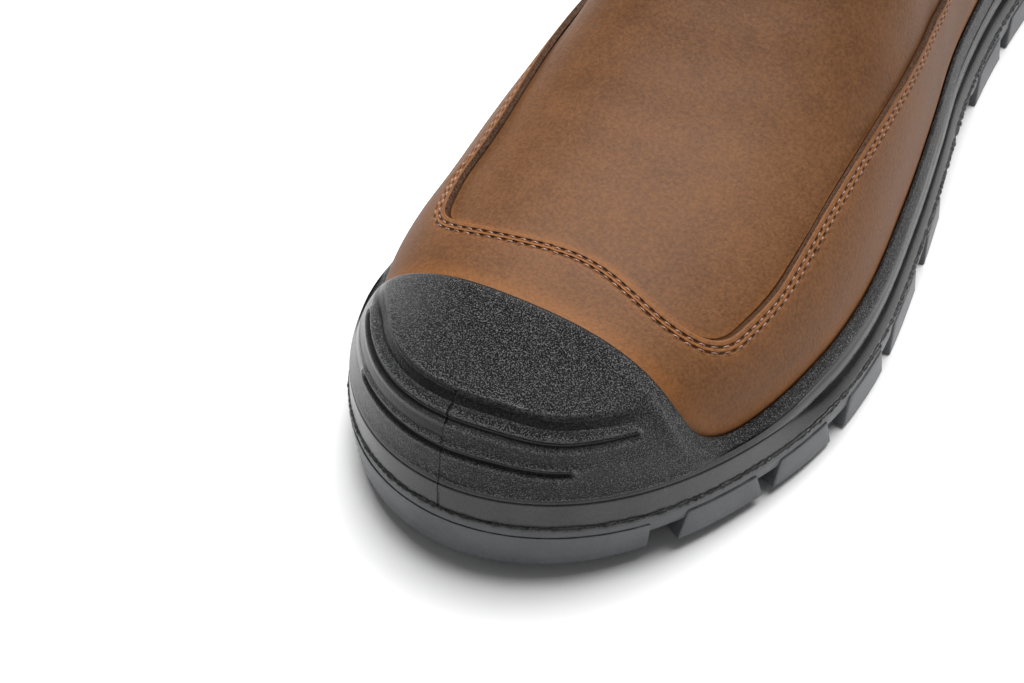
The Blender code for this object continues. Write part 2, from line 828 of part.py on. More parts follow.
def loop_path(x):
    """Middle line of the webbing: up the outside, over and down the inside of the shaft."""
    clear = GAP + LOOP_THICKNESS / 2
    outside = [(back_face(x, z, clear), z) for z in np.linspace(LOOP_FOOT, LOOP_BEND, LOOP_LEG_STEPS)]
    depth = -WALL - LOOP_LINING - clear
    inside = [(back_face(x, z, depth), z) for z in np.linspace(LOOP_BEND, LOOP_FOOT, LOOP_LEG_STEPS)]
    start = outside[-1][0]
    end = inside[0][0]
    centre = (start + end) / 2
    bow = []
    for step in range(1, LOOP_STEPS):
        turn = np.pi * step / LOOP_STEPS
        reach = (start - end) / 2 + LOOP_SPREAD * np.sin(turn)
        bow.append((centre + reach * np.cos(turn), LOOP_BEND + LOOP_RISE * np.sin(turn)))
    return np.array(outside + bow + inside)


def fill_loop(work):
    """Webbing strip of even thickness along its path, curved with the back of the shaft."""
    faces = ([], [])
    for x in np.linspace(-LOOP_WIDTH / 2, LOOP_WIDTH / 2, LOOP_ACROSS):
        path = loop_path(x)
        run = np.gradient(path, axis=0)
        run /= np.linalg.norm(run, axis=-1, keepdims=True)
        side = np.stack([run[:, 1], -run[:, 0]], -1)
        for sheet, sign in zip(faces, (0.5, -0.5)):
            line = path + side * sign * LOOP_THICKNESS
            points = np.column_stack([np.full(len(line), x), line])
            sheet.append(new_row(work, points))
    first, second = faces
    for sheet in faces:
        for lower, upper in zip(sheet, sheet[1:]):
            join_rows(work, lower, upper, closed=False)
    for i in (0, -1):
        join_rows(work, first[i], second[i], closed=False)
        join_rows(work, [line[i] for line in first], [line[i] for line in second], closed=False)


# Colours of the pieces, as linear values
LEATHER = (0.16, 0.075, 0.033)
LEATHER_DARK = (0.15, 0.07, 0.03)
BLACK_RUBBER = (0.018, 0.018, 0.019)
GREY_RUBBER = (0.06, 0.063, 0.07)
ELASTIC = (0.02, 0.017, 0.015)
FOOTBED = (0.05, 0.05, 0.052)

for old in list(bpy.data.objects):
    bpy.data.objects.remove(old, do_unlink=True)

boot = bpy.data.collections.new("pull_on_work_boot")
cutters = bpy.data.collections.new("cutters")
bpy.context.scene.collection.children.link(boot)
bpy.context.scene.collection.children.link(cutters)

outsole = new_mesh_object("outsole", fill_plate, GREY_RUBBER, 0.6, boot)
for name, fill, operation in (("lugs", fill_lugs, "UNION"), ("arch", fill_arch, "DIFFERENCE")):
    tool = new_mesh_object(name, fill, GREY_RUBBER, 0.6, cutters)
    tool.hide_render = True
    tool.display_type = "WIRE"
    cut = outsole.modifiers.new(name, "BOOLEAN")
    cut.object = tool
    cut.operation = operation

new_mesh_object("midsole", fill_midsole, BLACK_RUBBER, 0.5, boot)
new_mesh_object("insole", fill_insole, FOOTBED, 0.9, boot)
new_mesh_object("upper", fill_upper, LEATHER, 0.5, boot)
new_mesh_object("mudguard", fill_guard, LEATHER_DARK, 0.5, boot)
new_mesh_object("gore_medial", lambda work: fill_gore(work, MEDIAL_GORE), ELASTIC, 0.9, boot)
new_mesh_object("gore_lateral", lambda work: fill_gore(work, LATERAL_GORE), ELASTIC, 0.9, boot)
new_mesh_object("pull_loop", fill_loop, ELASTIC, 0.9, boot)
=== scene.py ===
import bmesh
import bpy
import numpy as np
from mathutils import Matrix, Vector
from mathutils.kdtree import KDTree


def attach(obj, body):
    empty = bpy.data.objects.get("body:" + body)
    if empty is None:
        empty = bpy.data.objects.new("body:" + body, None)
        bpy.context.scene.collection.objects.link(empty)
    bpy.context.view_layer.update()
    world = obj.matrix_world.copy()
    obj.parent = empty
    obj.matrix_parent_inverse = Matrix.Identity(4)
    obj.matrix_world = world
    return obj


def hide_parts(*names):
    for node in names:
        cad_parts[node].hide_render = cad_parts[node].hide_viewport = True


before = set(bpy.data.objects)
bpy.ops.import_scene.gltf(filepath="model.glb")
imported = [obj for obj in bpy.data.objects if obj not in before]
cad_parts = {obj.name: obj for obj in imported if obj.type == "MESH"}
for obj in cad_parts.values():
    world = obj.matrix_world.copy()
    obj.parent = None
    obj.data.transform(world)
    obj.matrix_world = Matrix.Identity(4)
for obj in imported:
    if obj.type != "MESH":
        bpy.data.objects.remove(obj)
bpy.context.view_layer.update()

# Upper: vamp and shaft are one shell of waxed brown leather with a woven lining glued inside it.
# It is pulled over the last, so its form follows the sections of the foot and shaft. It is open at the
# collar and underneath, and cut out at both sides of the shaft for the elastic.
MM = 0.001
LENGTH = 308.0
JOINT_HEIGHT = 12.0
JOINT_SPRING = 6.3
JOINT_SPRING_END = 95.0
TOE_ROUND_LATERAL = 88.0
TOE_ROUND_MEDIAL = 70.0
HEEL_ROUND = 44.0
HEEL_TIP = 8.0
TOE_TIP = 0.5
FLOOR_THICKNESS = 4.0
HEEL_RAISE = 6.0
HEEL_RAISE_START = 120.0
HEEL_RAISE_END = 215.0
WALL = 2.0
UPPER_TOE = 8.3
UPPER_HEEL = 300.5
WIDEST_LIFT = 8.0
TUCK = 0.05
TOE_TUCK = 2.0
TUCK_LIMIT = 1.5
TOE_DOME = 16.0
TOE_DOME_POWER = 2.3
TOE_DOME_LEAST = 0.01
SHAFT_POWER = 2.2
INSTEP_BLEND = 8.0
GORE_LEVEL = 10.0
TOP_LEVEL = 13.0


def table(columns, *rows):
    """Named columns as arrays, from one row for each section."""
    values = np.array(rows, dtype=float)
    return {name: values[:, i] for i, name in enumerate(columns.split())}


def curve(rows, key, name):
    """Smooth function through one named column of a table."""
    xs = rows[key]
    ys = rows[name]
    slopes = np.gradient(ys, xs)

    def at(x):
        x = np.clip(x, xs[0], xs[-1])
        i = np.clip(np.searchsorted(xs, x) - 1, 0, len(xs) - 2)
        span = xs[i + 1] - xs[i]
        s = (x - xs[i]) / span
        start = (1 + 2 * s) * (1 - s) ** 2 * ys[i] + s * (1 - s) ** 2 * span * slopes[i]
        end = s * s * (3 - 2 * s) * ys[i + 1] - s * s * (1 - s) * span * slopes[i + 1]
        return start + end

    return at


# Half widths of the sole's outline and of the upper at its feather edge, before their ends are rounded
OUTLINE = table(
    "along sole_lateral sole_medial upper_lateral upper_medial",
    (0, 59.0, 52.0, 52.7, 43.0),
    (45, 58.9, 50.8, 52.7, 43.0),
    (70, 60.2, 50.2, 52.7, 43.0),
    (100, 60.9, 51.0, 53.1, 43.3),
    (135, 56.4, 46.5, 48.8, 38.5),
    (165, 50.8, 39.0, 43.6, 31.8),
    (190, 45.6, 36.3, 38.8, 29.5),
    (220, 42.2, 37.6, 35.9, 31.3),
    (250, 41.5, 40.0, 34.5, 33.0),
    (LENGTH, 41.5, 41.0, 34.0, 33.5),
)

# Frontal sections of the foot: height of the crest and how square the section is
SECTIONS = table(
    "along crest square",
    (8, 48.0, 2.3),
    (33, 50.5, 2.3),
    (46, 54.0, 2.2),
    (60, 56.5, 2.15),
    (80, 61.0, 2.1),
    (100, 67.0, 2.1),
    (120, 75.5, 2.15),
    (140, 87.0, 2.2),
    (155, 98.0, 2.15),
    (163, 108.5, 2.0),
    (168, 118.5, 1.9),
    (172, 130.0, 1.9),
    (190, 135.0, 1.9),
    (215, 112.0, 1.9),
    (250, 76.0, 1.9),
    (300, 46.0, 1.9),
)

# Level sections of the heel and shaft
SHAFT = table(
    "height front back lateral medial",
    (15, 226, 299.0, 32.5, 31.0),
    (30, 222, 301.0, 34.5, 33.0),
    (48, 212, 302.5, 36.0, 34.5),
    (70, 200, 299.5, 35.5, 34.5),
    (95, 186, 294.5, 34.5, 33.5),
    (115, 176, 292.5, 34.5, 34.0),
    (140, 173, 292.0, 36.0, 36.0),
    (180, 177, 293.0, 40.0, 40.0),
)

# Rings round the upper from feather edge to collar, and the places on the spine they are cast from
RINGS = table(
    "level front front_height back_height follow nose gore_front gore_back heel",
    (0, 8.3, 21.0, 22.0, 1.0, 63, 130, 205, 262),
    (1, 8.3, 25.0, 26.0, 1.0, 63, 130, 205, 262),
    (2, 8.4, 30.0, 31.0, 1.0, 63, 131, 205, 262),
    (3, 11.5, 41.5, 39.0, 0.8, 65, 134, 206, 262),
    (4, 20, 48.2, 45.0, 0.6, 68, 138, 208, 262),
    (5, 33, 50.5, 50.0, 0.5, 76, 143, 211, 263),
    (6, 46, 54.0, 55.0, 0.4, 88, 150, 215, 263),
    (7, 70, 58.6, 61.0, 0.2, 108, 165, 220, 264),
    (8, 100, 67.0, 69.0, 0.0, 136, 184, 226, 264),
    (9, 130, 81.0, 81.0, 0.0, 163, 204, 236, 265),
    (10, 155, 98.0, 96.0, 0.0, 184, 222, 244, 266),
    (11, 168, 118.5, 115.0, 0.0, 196, 212, 254, 267),
    (12, 173, 142.0, 138.0, 0.0, 199, 207, 260, 268),
    (13, 175.5, 165.0, 161.0, 0.0, 200, 204, 263, 268),
)

OUTLINE_AT = {name: curve(OUTLINE, "along", name) for name in OUTLINE if name != "along"}
CREST_AT = curve(SECTIONS, "along", "crest")
SQUARE_AT = curve(SECTIONS, "along", "square")
SHAFT_AT = {name: curve(SHAFT, "height", name) for name in SHAFT if name != "height"}
RING_AT = {name: curve(RINGS, "level", name) for name in RINGS if name != "level"}


def round_end(distance, length, power=2.0):
    """Share of the full size at a distance from a rounded end."""
    s = np.clip(distance / length, 0, 1)
    return (1 - (1 - s) ** power) ** (1 / power)


def ease(x, start, end):
    """Smooth step from 0 at the start to 1 at the end."""
    s = np.clip((x - start) / (end - start), 0, 1)
    return s * s * (3 - 2 * s)


def smooth_min(a, b, blend):
    """Smaller of two values, rounded over where they meet."""
    h = np.clip(0.5 + 0.5 * (b - a) / blend, 0, 1)
    return b + (a - b) * h - blend * h * (1 - h)


def joint(along):
    """Height of the line between midsole and outsole."""
    return JOINT_HEIGHT + JOINT_SPRING * np.clip(1 - along / JOINT_SPRING_END, 0, 1) ** 2


def feather(along):
    """Height of the upper's lower edge."""
    return joint(along) + FLOOR_THICKNESS + HEEL_RAISE * ease(along, HEEL_RAISE_START, HEEL_RAISE_END)


def rounded_half(x, along, piece, toe, heel):
    """Half width on the side of x of the sole or the upper, with its toe and heel rounded."""
    lateral = OUTLINE_AT[piece + "_lateral"](along) * round_end(along - toe, TOE_ROUND_LATERAL - toe)
    medial = OUTLINE_AT[piece + "_medial"](along) * round_end(along - toe, TOE_ROUND_MEDIAL - toe)
    return np.where(x > 0, lateral, medial) * round_end(heel - along, HEEL_ROUND - (LENGTH - heel))


def foot_gap(x, along, height):
    """Below 0 inside the foot: superelliptic sections from the feather edge up to the crest."""
    widest = feather(along) + WIDEST_LIFT
    dome = round_end(along - UPPER_TOE, TOE_DOME, TOE_DOME_POWER)
    crest = widest + (CREST_AT(along) - widest) * np.maximum(dome, TOE_DOME_LEAST)
    sink = np.clip((widest - height) / WIDEST_LIFT, 0, TUCK_LIMIT)
    half = rounded_half(x, along, "upper", UPPER_TOE, UPPER_HEEL) * (1 - TUCK * sink ** 2)
    half = np.maximum(half, np.where(along > LENGTH - HEEL_ROUND, HEEL_TIP, TOE_TIP))
    rise = np.clip((height - widest) / (crest - widest), 0, None)
    power = SQUARE_AT(along)
    radius = ((np.abs(x) / half) ** power + rise ** power) ** (1 / power)
    ends = np.maximum(UPPER_TOE + TOE_TUCK * sink ** 2 - along, along - UPPER_HEEL)
    return np.maximum((radius - 1) * half, ends)


def shaft_gap(x, along, height):
    """Below 0 inside the heel and shaft: superelliptic level sections."""
    front = SHAFT_AT["front"](height)
    back = SHAFT_AT["back"](height)
    half = np.where(x > 0, SHAFT_AT["lateral"](height), SHAFT_AT["medial"](height))
    run = np.abs(along - (front + back) / 2) / ((back - front) / 2)
    radius = ((np.abs(x) / half) ** SHAFT_POWER + run ** SHAFT_POWER) ** (1 / SHAFT_POWER)
    return (radius - 1) * half


def upper_gap(x, along, height):
    """Below 0 inside the upper: foot and shaft, blended at the instep."""
    return smooth_min(foot_gap(x, along, height), shaft_gap(x, along, height), INSTEP_BLEND)


def ring_height(level, along):
    """Height of a ring above the floor at a place along the boot."""
    front = RING_AT["front"](level)
    start = RING_AT["front_height"](level)
    s = np.clip((along - front) / (UPPER_HEEL - front), 0, 1)
    plane = start + s * (RING_AT["back_height"](level) - start)
    chord = feather(front) + s * (feather(UPPER_HEEL) - feather(front))
    return plane + RING_AT["follow"](level) * (feather(along) - chord)


# Columns of the grid: round the toe, back along the medial side, round the heel, along the lateral side
STATIONS = ("nose", "gore_front", "gore_back", "heel")
SPLIT = 8
FRONT_ARC = 22 * SPLIT
BACK_ARC = 12 * SPLIT
SIDE_SPLITS = (3 * SPLIT, 3 * SPLIT, 2 * SPLIT)


def grid_columns():
    """Station shares and plan directions of the columns."""
    side = []
    for place, splits in enumerate(SIDE_SPLITS):
        for step in range(splits):
            share = np.zeros(len(STATIONS))
            share[place] = 1 - step / splits
            share[place + 1] = step / splits
            side.append(share)
    side = side[1:]
    nose = [np.eye(len(STATIONS))[0]] * (FRONT_ARC + 1)
    heel = [np.eye(len(STATIONS))[-1]] * (BACK_ARC + 1)
    front_turns = np.linspace(np.pi / 2, -np.pi / 2, FRONT_ARC + 1)
    back_turns = np.linspace(-np.pi / 2, -3 * np.pi / 2, BACK_ARC + 1)
    medial_turns = np.full(len(side), -np.pi / 2)
    turns = np.concatenate([front_turns, medial_turns, back_turns, -medial_turns])
    shares = np.array(nose + side + heel + side[::-1])
    return shares, np.stack([np.sin(turns), -np.cos(turns)], -1)


SHARES, DIRECTIONS = grid_columns()
COLUMNS = len(SHARES)
PARTNER = [(FRONT_ARC - i) % COLUMNS for i in range(COLUMNS)]
TOE_COLUMN = FRONT_ARC // 2
HEEL_COLUMN = TOE_COLUMN + COLUMNS // 2
MEDIAL_HALF = [i % COLUMNS for i in range(TOE_COLUMN, HEEL_COLUMN + 1)]
LATERAL_HALF = [PARTNER[i] for i in MEDIAL_HALF]
REACH = 120.0
HALVINGS = 34
PROBE = 0.05


def last_inside(near, far, inside):
    """Last place between two that is inside a form, found by halving."""
    for _ in range(HALVINGS):
        middle = (near + far) / 2
        hit = inside(middle)
        near = np.where(hit, middle, near)
        far = np.where(hit, far, middle)
    return near


def cast(level, inside):
    """Where each column's line from the spine leaves the form."""
    start = sum(SHARES[:, i] * RING_AT[name](level) for i, name in enumerate(STATIONS))
    across, ahead = DIRECTIONS.T
    reach = last_inside(0 * start, 0 * start + REACH, lambda far: inside(far * across, start + far * ahead))
    return reach * across, start + reach * ahead


def on_upper(level):
    """Points of the upper's outer face at a level, which may differ from column to column."""
    x, along = cast(level, lambda x, along: upper_gap(x, along, ring_height(level, along)) < 0)
    return np.stack([x, along, ring_height(level, along)], -1)


def steepness(gap, points):
    """Change of a form's gap with each direction, at some points."""
    parts = []
    for axis in range(points.shape[-1]):
        shift = np.zeros(points.shape[-1])
        shift[axis] = PROBE
        ahead = gap(*np.moveaxis(points + shift, -1, 0))
        behind = gap(*np.moveaxis(points - shift, -1, 0))
        parts.append((ahead - behind) / (2 * PROBE))
    return np.stack(parts, -1)


def unit(vectors):
    """Vectors brought to a length of 1."""
    return vectors / np.linalg.norm(vectors, axis=-1, keepdims=True)


def slope(gap, points):
    """Unit normals of a form at some points."""
    return unit(steepness(gap, points))


def wrap_level(covers):
    """Level of each column where a wrap over the toe and sides ends."""
    high = np.full(COLUMNS, GORE_LEVEL)
    return last_inside(np.zeros(COLUMNS), high, lambda level: covers(*on_upper(level).T))


def outside(points, distance):
    """Points of the upper's outer face moved out by a distance."""
    return points + slope(upper_gap, points) * np.asarray(distance)[..., None]


# Mudguard's edge on the vamp, with its lobe on the lateral side of the toe
GUARD_EDGE = table(
    "along lateral medial",
    (0, 42.6, 47.3),
    (58, 42.6, 47.3),
    (72, 43.8, 47.8),
    (84, 46.2, 50.2),
    (110, 50.8, 53.6),
    (140, 53.8, 55.0),
    (180, 54.0, 55.5),
    (240, 57.0, 57.5),
    (285, 62.0, 62.0),
    (LENGTH, 63.0, 63.0),
)
GUARD_FRONT = table(
    "across along",
    (-45, 48.4), (-20, 49.2), (-5, 50.2), (5, 51.2), (13, 50.6),
    (21, 48.8), (28, 47.3), (34, 46.8), (50, 46.8),
)
GUARD_AT = {name: curve(GUARD_EDGE, "along", name) for name in ("lateral", "medial")}
GUARD_FRONT_AT = curve(GUARD_FRONT, "across", "along")
GUARD_CORNER = 10.5


def under_guard(x, along, height):
    """True under the mudguard, whose front edge bows forward on the lateral side."""
    side = np.where(x > 0, GUARD_AT["lateral"](along), GUARD_AT["medial"](along))
    return smooth_min(along - GUARD_FRONT_AT(x), height - side, GUARD_CORNER) < 0


GUARD_LEVEL = wrap_level(under_guard)
FRAME_ACROSS = 4.242169
ORIGIN = np.array([FRAME_ACROSS, LENGTH / 2, 0.0])


def metres(points):
    """Places on the boot in millimetres, as places in the model's frame."""
    return ((np.asarray(points) - ORIGIN) * MM).tolist()


def add_node(tree, kind, sockets, out, settings):
    """Output of a new node, with its settings made and its sockets set or linked."""
    made = tree.nodes.new(kind)
    for name, value in settings.items():
        setattr(made, name, value)
    for name, value in sockets.items():
        if isinstance(value, bpy.types.NodeSocket):
            tree.links.new(value, made.inputs[name])
        else:
            made.inputs[name].default_value = value
    return made.outputs[out]


class Wire:
    """A socket of a material's nodes. Sums and products add Math nodes, and node() adds any other."""

    def __init__(self, socket):
        self.socket = socket

    def node(self, kind, sockets, out=0, **settings):
        given = {name: value.socket if isinstance(value, Wire) else value for name, value in sockets.items()}
        return Wire(add_node(self.socket.id_data, kind, given, out, settings))

    def maths(self, operation, *others):
        return self.node("ShaderNodeMath", dict(enumerate((self, *others))), operation=operation)

    def __add__(self, other):
        return self.maths("ADD", other)

    def __sub__(self, other):
        return self.maths("SUBTRACT", other)

    def __mul__(self, other):
        return self.maths("MULTIPLY", other)

    def __truediv__(self, other):
        return self.maths("DIVIDE", other)

    def __rsub__(self, other):
        return self.maths("MULTIPLY_ADD", -1.0, other)

    __radd__ = __add__
    __rmul__ = __mul__

    def step(self, start, end):
        """Smooth step from 0 at the start to 1 at the end."""
        sockets = {"Value": self, "From Min": start, "From Max": end}
        return self.node("ShaderNodeMapRange", sockets, interpolation_type="SMOOTHSTEP")

    def noise(self, size_mm, detail=3.0, roughness=0.55):
        """Noise on this place with features of a size."""
        sockets = {"Vector": self, "Scale": 1000 / size_mm, "Detail": detail, "Roughness": roughness}
        return self.node("ShaderNodeTexNoise", sockets)

    def cells(self, size_mm, **settings):
        """Distance to the nearest of some scattered points a size apart."""
        sockets = {"Vector": self, "Scale": 1000 / size_mm}
        return self.node("ShaderNodeTexVoronoi", sockets, **settings)

    def between(self, first, second):
        """Colour mixed from two by this share."""
        return self.node("ShaderNodeMix", {0: self, 6: first, 7: second}, out=2, data_type="RGBA")

    def value(self, name):
        """Value stored on the mesh."""
        return self.node("ShaderNodeAttribute", {}, out=2, attribute_name=name)


def new_finish(name, **fixed):
    """Material with a Principled shader, its fixed sockets set, and the place on the piece."""
    material = bpy.data.materials.new(name)
    material.use_nodes = True
    shader = material.node_tree.nodes["Principled BSDF"]
    for socket, value in fixed.items():
        shader.inputs[socket.replace("_", " ")].default_value = value
    place = Wire(material.node_tree.nodes.new("ShaderNodeTexCoord").outputs["Object"])
    return material, place


def dress(material, bump=None, bump_depth=0.0001, bump_strength=1.0, **wires):
    """Link what varies over the surface to the material's shader."""
    tree = material.node_tree
    shader = tree.nodes["Principled BSDF"]
    if bump is not None:
        sockets = {"Height": bump, "Distance": bump_depth, "Strength": bump_strength}
        wires["Normal"] = bump.node("ShaderNodeBump", sockets)
    for socket, wire in wires.items():
        tree.links.new(wire.socket, shader.inputs[socket.replace("_", " ")])


LEATHER_DARK = (0.088, 0.036, 0.014, 1)
LEATHER_BROWN = (0.162, 0.071, 0.028, 1)
LEATHER_TAN = (0.250, 0.096, 0.026, 1)
# Painted shade: needle holes on the mudguard, and a dark line on the vamp along the mudguard's edge
PAINTED_SHADE_BROWN = (0.024, 0.010, 0.006, 1)
HOLE_DEPTH = -4.0


def leather_finish(name, pulled_up, painted_shade_and_relief):
    """Waxed leather: mottled brown that turns tan where it is pulled, with fine grain, and painted shade at
    its seams.
    """
    material, place = new_finish(name, Coat_Roughness=0.5, Specular_IOR_Level=0.14)
    broad = place.noise(52, 2.0)
    mottle = place.noise(8, 4.0, 0.65)
    fleck = place.noise(0.9, 3.0, 0.6)
    shade = (broad * 0.4 + mottle * 0.4 + fleck * 0.8).step(0.5, 1.1)
    colour = shade.between(LEATHER_DARK, LEATHER_BROWN)
    pull = pulled_up(place) * (0.45 + fleck * 0.7 + mottle * 0.4)
    colour = pull.step(0.05, 1.15).between(colour, LEATHER_TAN)
    pores = place.cells(0.7, feature="SMOOTH_F1")
    grain = pores * 0.6 + place.noise(0.35, 2.0) * 0.5 + place.noise(2.4, 3.0) * 0.7
    rough = 0.47 + mottle * 0.14 + fleck * 0.08
    # Painted shade at the seam: dark in the needle holes, or as a line beside the mudguard's edge
    painted_shade, relief = painted_shade_and_relief(place)
    colour = painted_shade.between(colour, PAINTED_SHADE_BROWN)
    coat = 0.01 + broad * 0.06
    dress(material, grain + relief, 0.00016, 0.75, Base_Color=colour, Roughness=rough, Coat_Weight=coat)
    return material


def edge_finish():
    """Raw cut edge of the leather, dark brown and fibrous; its dark tone is partly its own colour and partly
    painted shade.
    """
    material, place = new_finish("leather_cut_edge", Specular_IOR_Level=0.1)
    fibre = place.noise(0.5, 3.0)
    colour = fibre.step(0.3, 0.7).between((0.030, 0.015, 0.009, 1), (0.105, 0.058, 0.036, 1))
    dress(material, fibre, 0.0002, 0.7, Base_Color=colour, Roughness=0.62 + fibre * 0.2)
    return material


def lining_finish():
    """Woven lining in a warm grey."""
    material, place = new_finish("lining_cloth", Specular_IOR_Level=0.2, Sheen_Weight=0.2)
    weave = place.cells(0.9, distance="MANHATTAN")
    shade = weave * 0.7 + place.noise(14, 3.0) * 0.5
    colour = shade.step(0.2, 0.9).between((0.16, 0.14, 0.115, 1), (0.30, 0.27, 0.225, 1))
    dress(material, weave, 0.00025, 0.8, Base_Color=colour, Roughness=0.85 + weave * 0.1)
    return material


LEATHER_EDGE = edge_finish()
LINING = lining_finish()


def quads(index, closed=True, keep=None):
    """Faces of a grid of vertex numbers, whose columns may close on themselves."""
    grid = np.concatenate([index, index[:, :1]], 1) if closed else index
    faces = np.stack([grid[:-1, :-1], grid[:-1, 1:], grid[1:, 1:], grid[1:, :-1]], -1)
    return faces[keep].reshape(-1, 4) if keep is not None else faces.reshape(-1, 4)


def new_object(name, data):
    """Object in the scene with a mesh, a lamp or a lens."""
    thing = bpy.data.objects.new(name, data)
    bpy.context.scene.collection.objects.link(thing)
    return thing


def new_piece(name, points, faces, finishes, node, values=None, sharp=0.7):
    """Object on the root body from points in millimetres and one list of faces for each finish."""
    mesh = bpy.data.meshes.new(name)
    mesh.from_pydata(metres(points), [], np.concatenate(faces).tolist())
    for finish in finishes:
        mesh.materials.append(finish)
    mesh.polygons.foreach_set("material_index", np.repeat(np.arange(len(faces)), [len(f) for f in faces]))
    for label, numbers in (values or {}).items():
        mesh.attributes.new(label, "FLOAT", "POINT").data.foreach_set("value", np.ravel(numbers))
    work = bmesh.new()
    work.from_mesh(mesh)
    bmesh.ops.recalc_face_normals(work, faces=work.faces)
    work.to_mesh(mesh)
    work.free()
    mesh.shade_smooth()
    mesh.set_sharp_from_angle(angle=sharp)
    thing = new_object(name, mesh)
    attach(thing, "root")
    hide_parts(node)
    return thing


# Soft troughs across the vamp where it bends: place at the middle, sweep to the sides, width and depth
CREASES = table(
    "along sweep width depth",
    (92, 9.0, 5.0, 0.16),
    (107, 12.0, 6.0, 0.24),
    (123, 14.0, 6.5, 0.30),
    (139, 15.0, 6.0, 0.30),
)
CREASE_REACH = 34.0
CREASE_SWEEP_WIDTH = 30.0
CREASE_SWELL = 0.6
CREASE_SWELL_AT = 1.5
CREASE_FADE = (50.0, 58.0)


def creased(points):
    """Depth of the creases at some points of the vamp."""
    x, along = points[..., 0], points[..., 1]
    depth = 0.0
    for place, sweep, width, drop in zip(*CREASES.values()):
        behind = (along - place - sweep * (x / CREASE_SWEEP_WIDTH) ** 2) / width
        trough = np.exp(-behind ** 2) - CREASE_SWELL * np.exp(-(behind - CREASE_SWELL_AT) ** 2)
        depth = depth + drop * trough * np.exp(-(x / CREASE_REACH) ** 4)
    return depth * ease(points[..., 2], *CREASE_FADE)


HIDDEN_ROWS = 5
HIDDEN_TOP = 0.94
VAMP_START = 0.97
VAMP_ROWS = 92
COLLAR_ROWS = 40
VAMP_LINING_ROWS = 14
COLLAR_ROLL = 6


def upper_levels(vamp_rows):
    """Levels of the upper's rows: under the mudguard, over the vamp and up the shaft."""
    hidden = np.linspace(0, HIDDEN_TOP, HIDDEN_ROWS)[:, None] * GUARD_LEVEL
    start = VAMP_START * GUARD_LEVEL
    vamp = start + np.linspace(0, 1, vamp_rows)[:, None] * (GORE_LEVEL - start)
    collar = np.linspace(GORE_LEVEL, TOP_LEVEL, COLLAR_ROWS)[1:, None] + 0 * GUARD_LEVEL
    return np.concatenate([hidden, vamp, collar])


GORE_FRONT = FRONT_ARC + SIDE_SPLITS[0]
GORE_BACK = GORE_FRONT + SIDE_SPLITS[1]
MEDIAL_GORE = list(range(GORE_FRONT, GORE_BACK + 1))
LATERAL_GORE = [PARTNER[i] for i in reversed(MEDIAL_GORE)]
OUTER_FACE = on_upper(upper_levels(VAMP_ROWS))
OUTER_NORMAL = slope(upper_gap, OUTER_FACE)
GORE_ROW = HIDDEN_ROWS + VAMP_ROWS - 1


def build_upper():
    outer = OUTER_FACE - OUTER_NORMAL * creased(OUTER_FACE)[..., None]
    inner = outside(on_upper(upper_levels(VAMP_LINING_ROWS)), -WALL)
    inner_gore_row = HIDDEN_ROWS + VAMP_LINING_ROWS - 1
    turn = np.linspace(0, np.pi, COLLAR_ROLL + 2)[1:-1, None, None]
    middle = (outer[-1] + inner[-1]) / 2
    roll = middle + np.cos(turn) * (outer[-1] - middle) + np.sin(turn) * np.array([0, 0, WALL / 2])
    points = np.concatenate([outer, roll, inner])
    index = np.arange(len(points) * COLUMNS).reshape(-1, COLUMNS)
    outer_index = index[:len(outer)]
    inner_index = index[len(outer) + len(roll):]
    collar_index = index[len(outer) - 1:len(outer) + len(roll)]
    collar_index = np.concatenate([collar_index, inner_index[-1:]])
    solid = np.ones(COLUMNS, bool)
    solid[MEDIAL_GORE[:-1]] = False
    solid[LATERAL_GORE[:-1]] = False

    def kept(rows, gore_row):
        keep = np.ones((rows - 1, COLUMNS), bool)
        keep[gore_row:] = solid
        return keep

    leather = [quads(outer_index, keep=kept(len(outer), GORE_ROW))]
    leather.append(quads(collar_index, keep=np.tile(solid, (len(collar_index) - 1, 1))))
    leather.append(quads(np.stack([outer_index[0], inner_index[0]])))
    cut = []
    for gore in (MEDIAL_GORE, LATERAL_GORE):
        sill = np.stack([outer_index[GORE_ROW][gore], inner_index[inner_gore_row][gore]])
        cut.append(quads(sill, closed=False))
        for i in (gore[0], gore[-1]):
            side = np.stack([outer_index[GORE_ROW:, i], inner_index[inner_gore_row:, i]])
            cut.append(quads(side, closed=False))
    lining = [quads(inner_index, keep=kept(len(inner), inner_gore_row))]
    faces = [np.concatenate(group) for group in (leather, lining, cut)]
    near_guard = np.linalg.norm(points - on_upper(GUARD_LEVEL), axis=-1)
    near_guard[:HIDDEN_ROWS + 1] *= -1

    # Painted shadow: a dark line on the vamp along the mudguard's raised edge, also sunk by the bump
    def painted_seam_shadow(place):
        line = 0.7 * (1 - place.value("from_seam").step(0.2, 0.8))
        return line, line * HOLE_DEPTH

    def seam_pull(place):
        return 0.5 * (1 - place.value("from_seam").step(0.5, 4.0))

    finishes = [leather_finish("vamp_leather", seam_pull, painted_seam_shadow), LINING, LEATHER_EDGE]
    values = {"from_seam": near_guard}
    new_piece("upper_shell", points.reshape(-1, 3), faces, finishes, "upper", values)


build_upper()

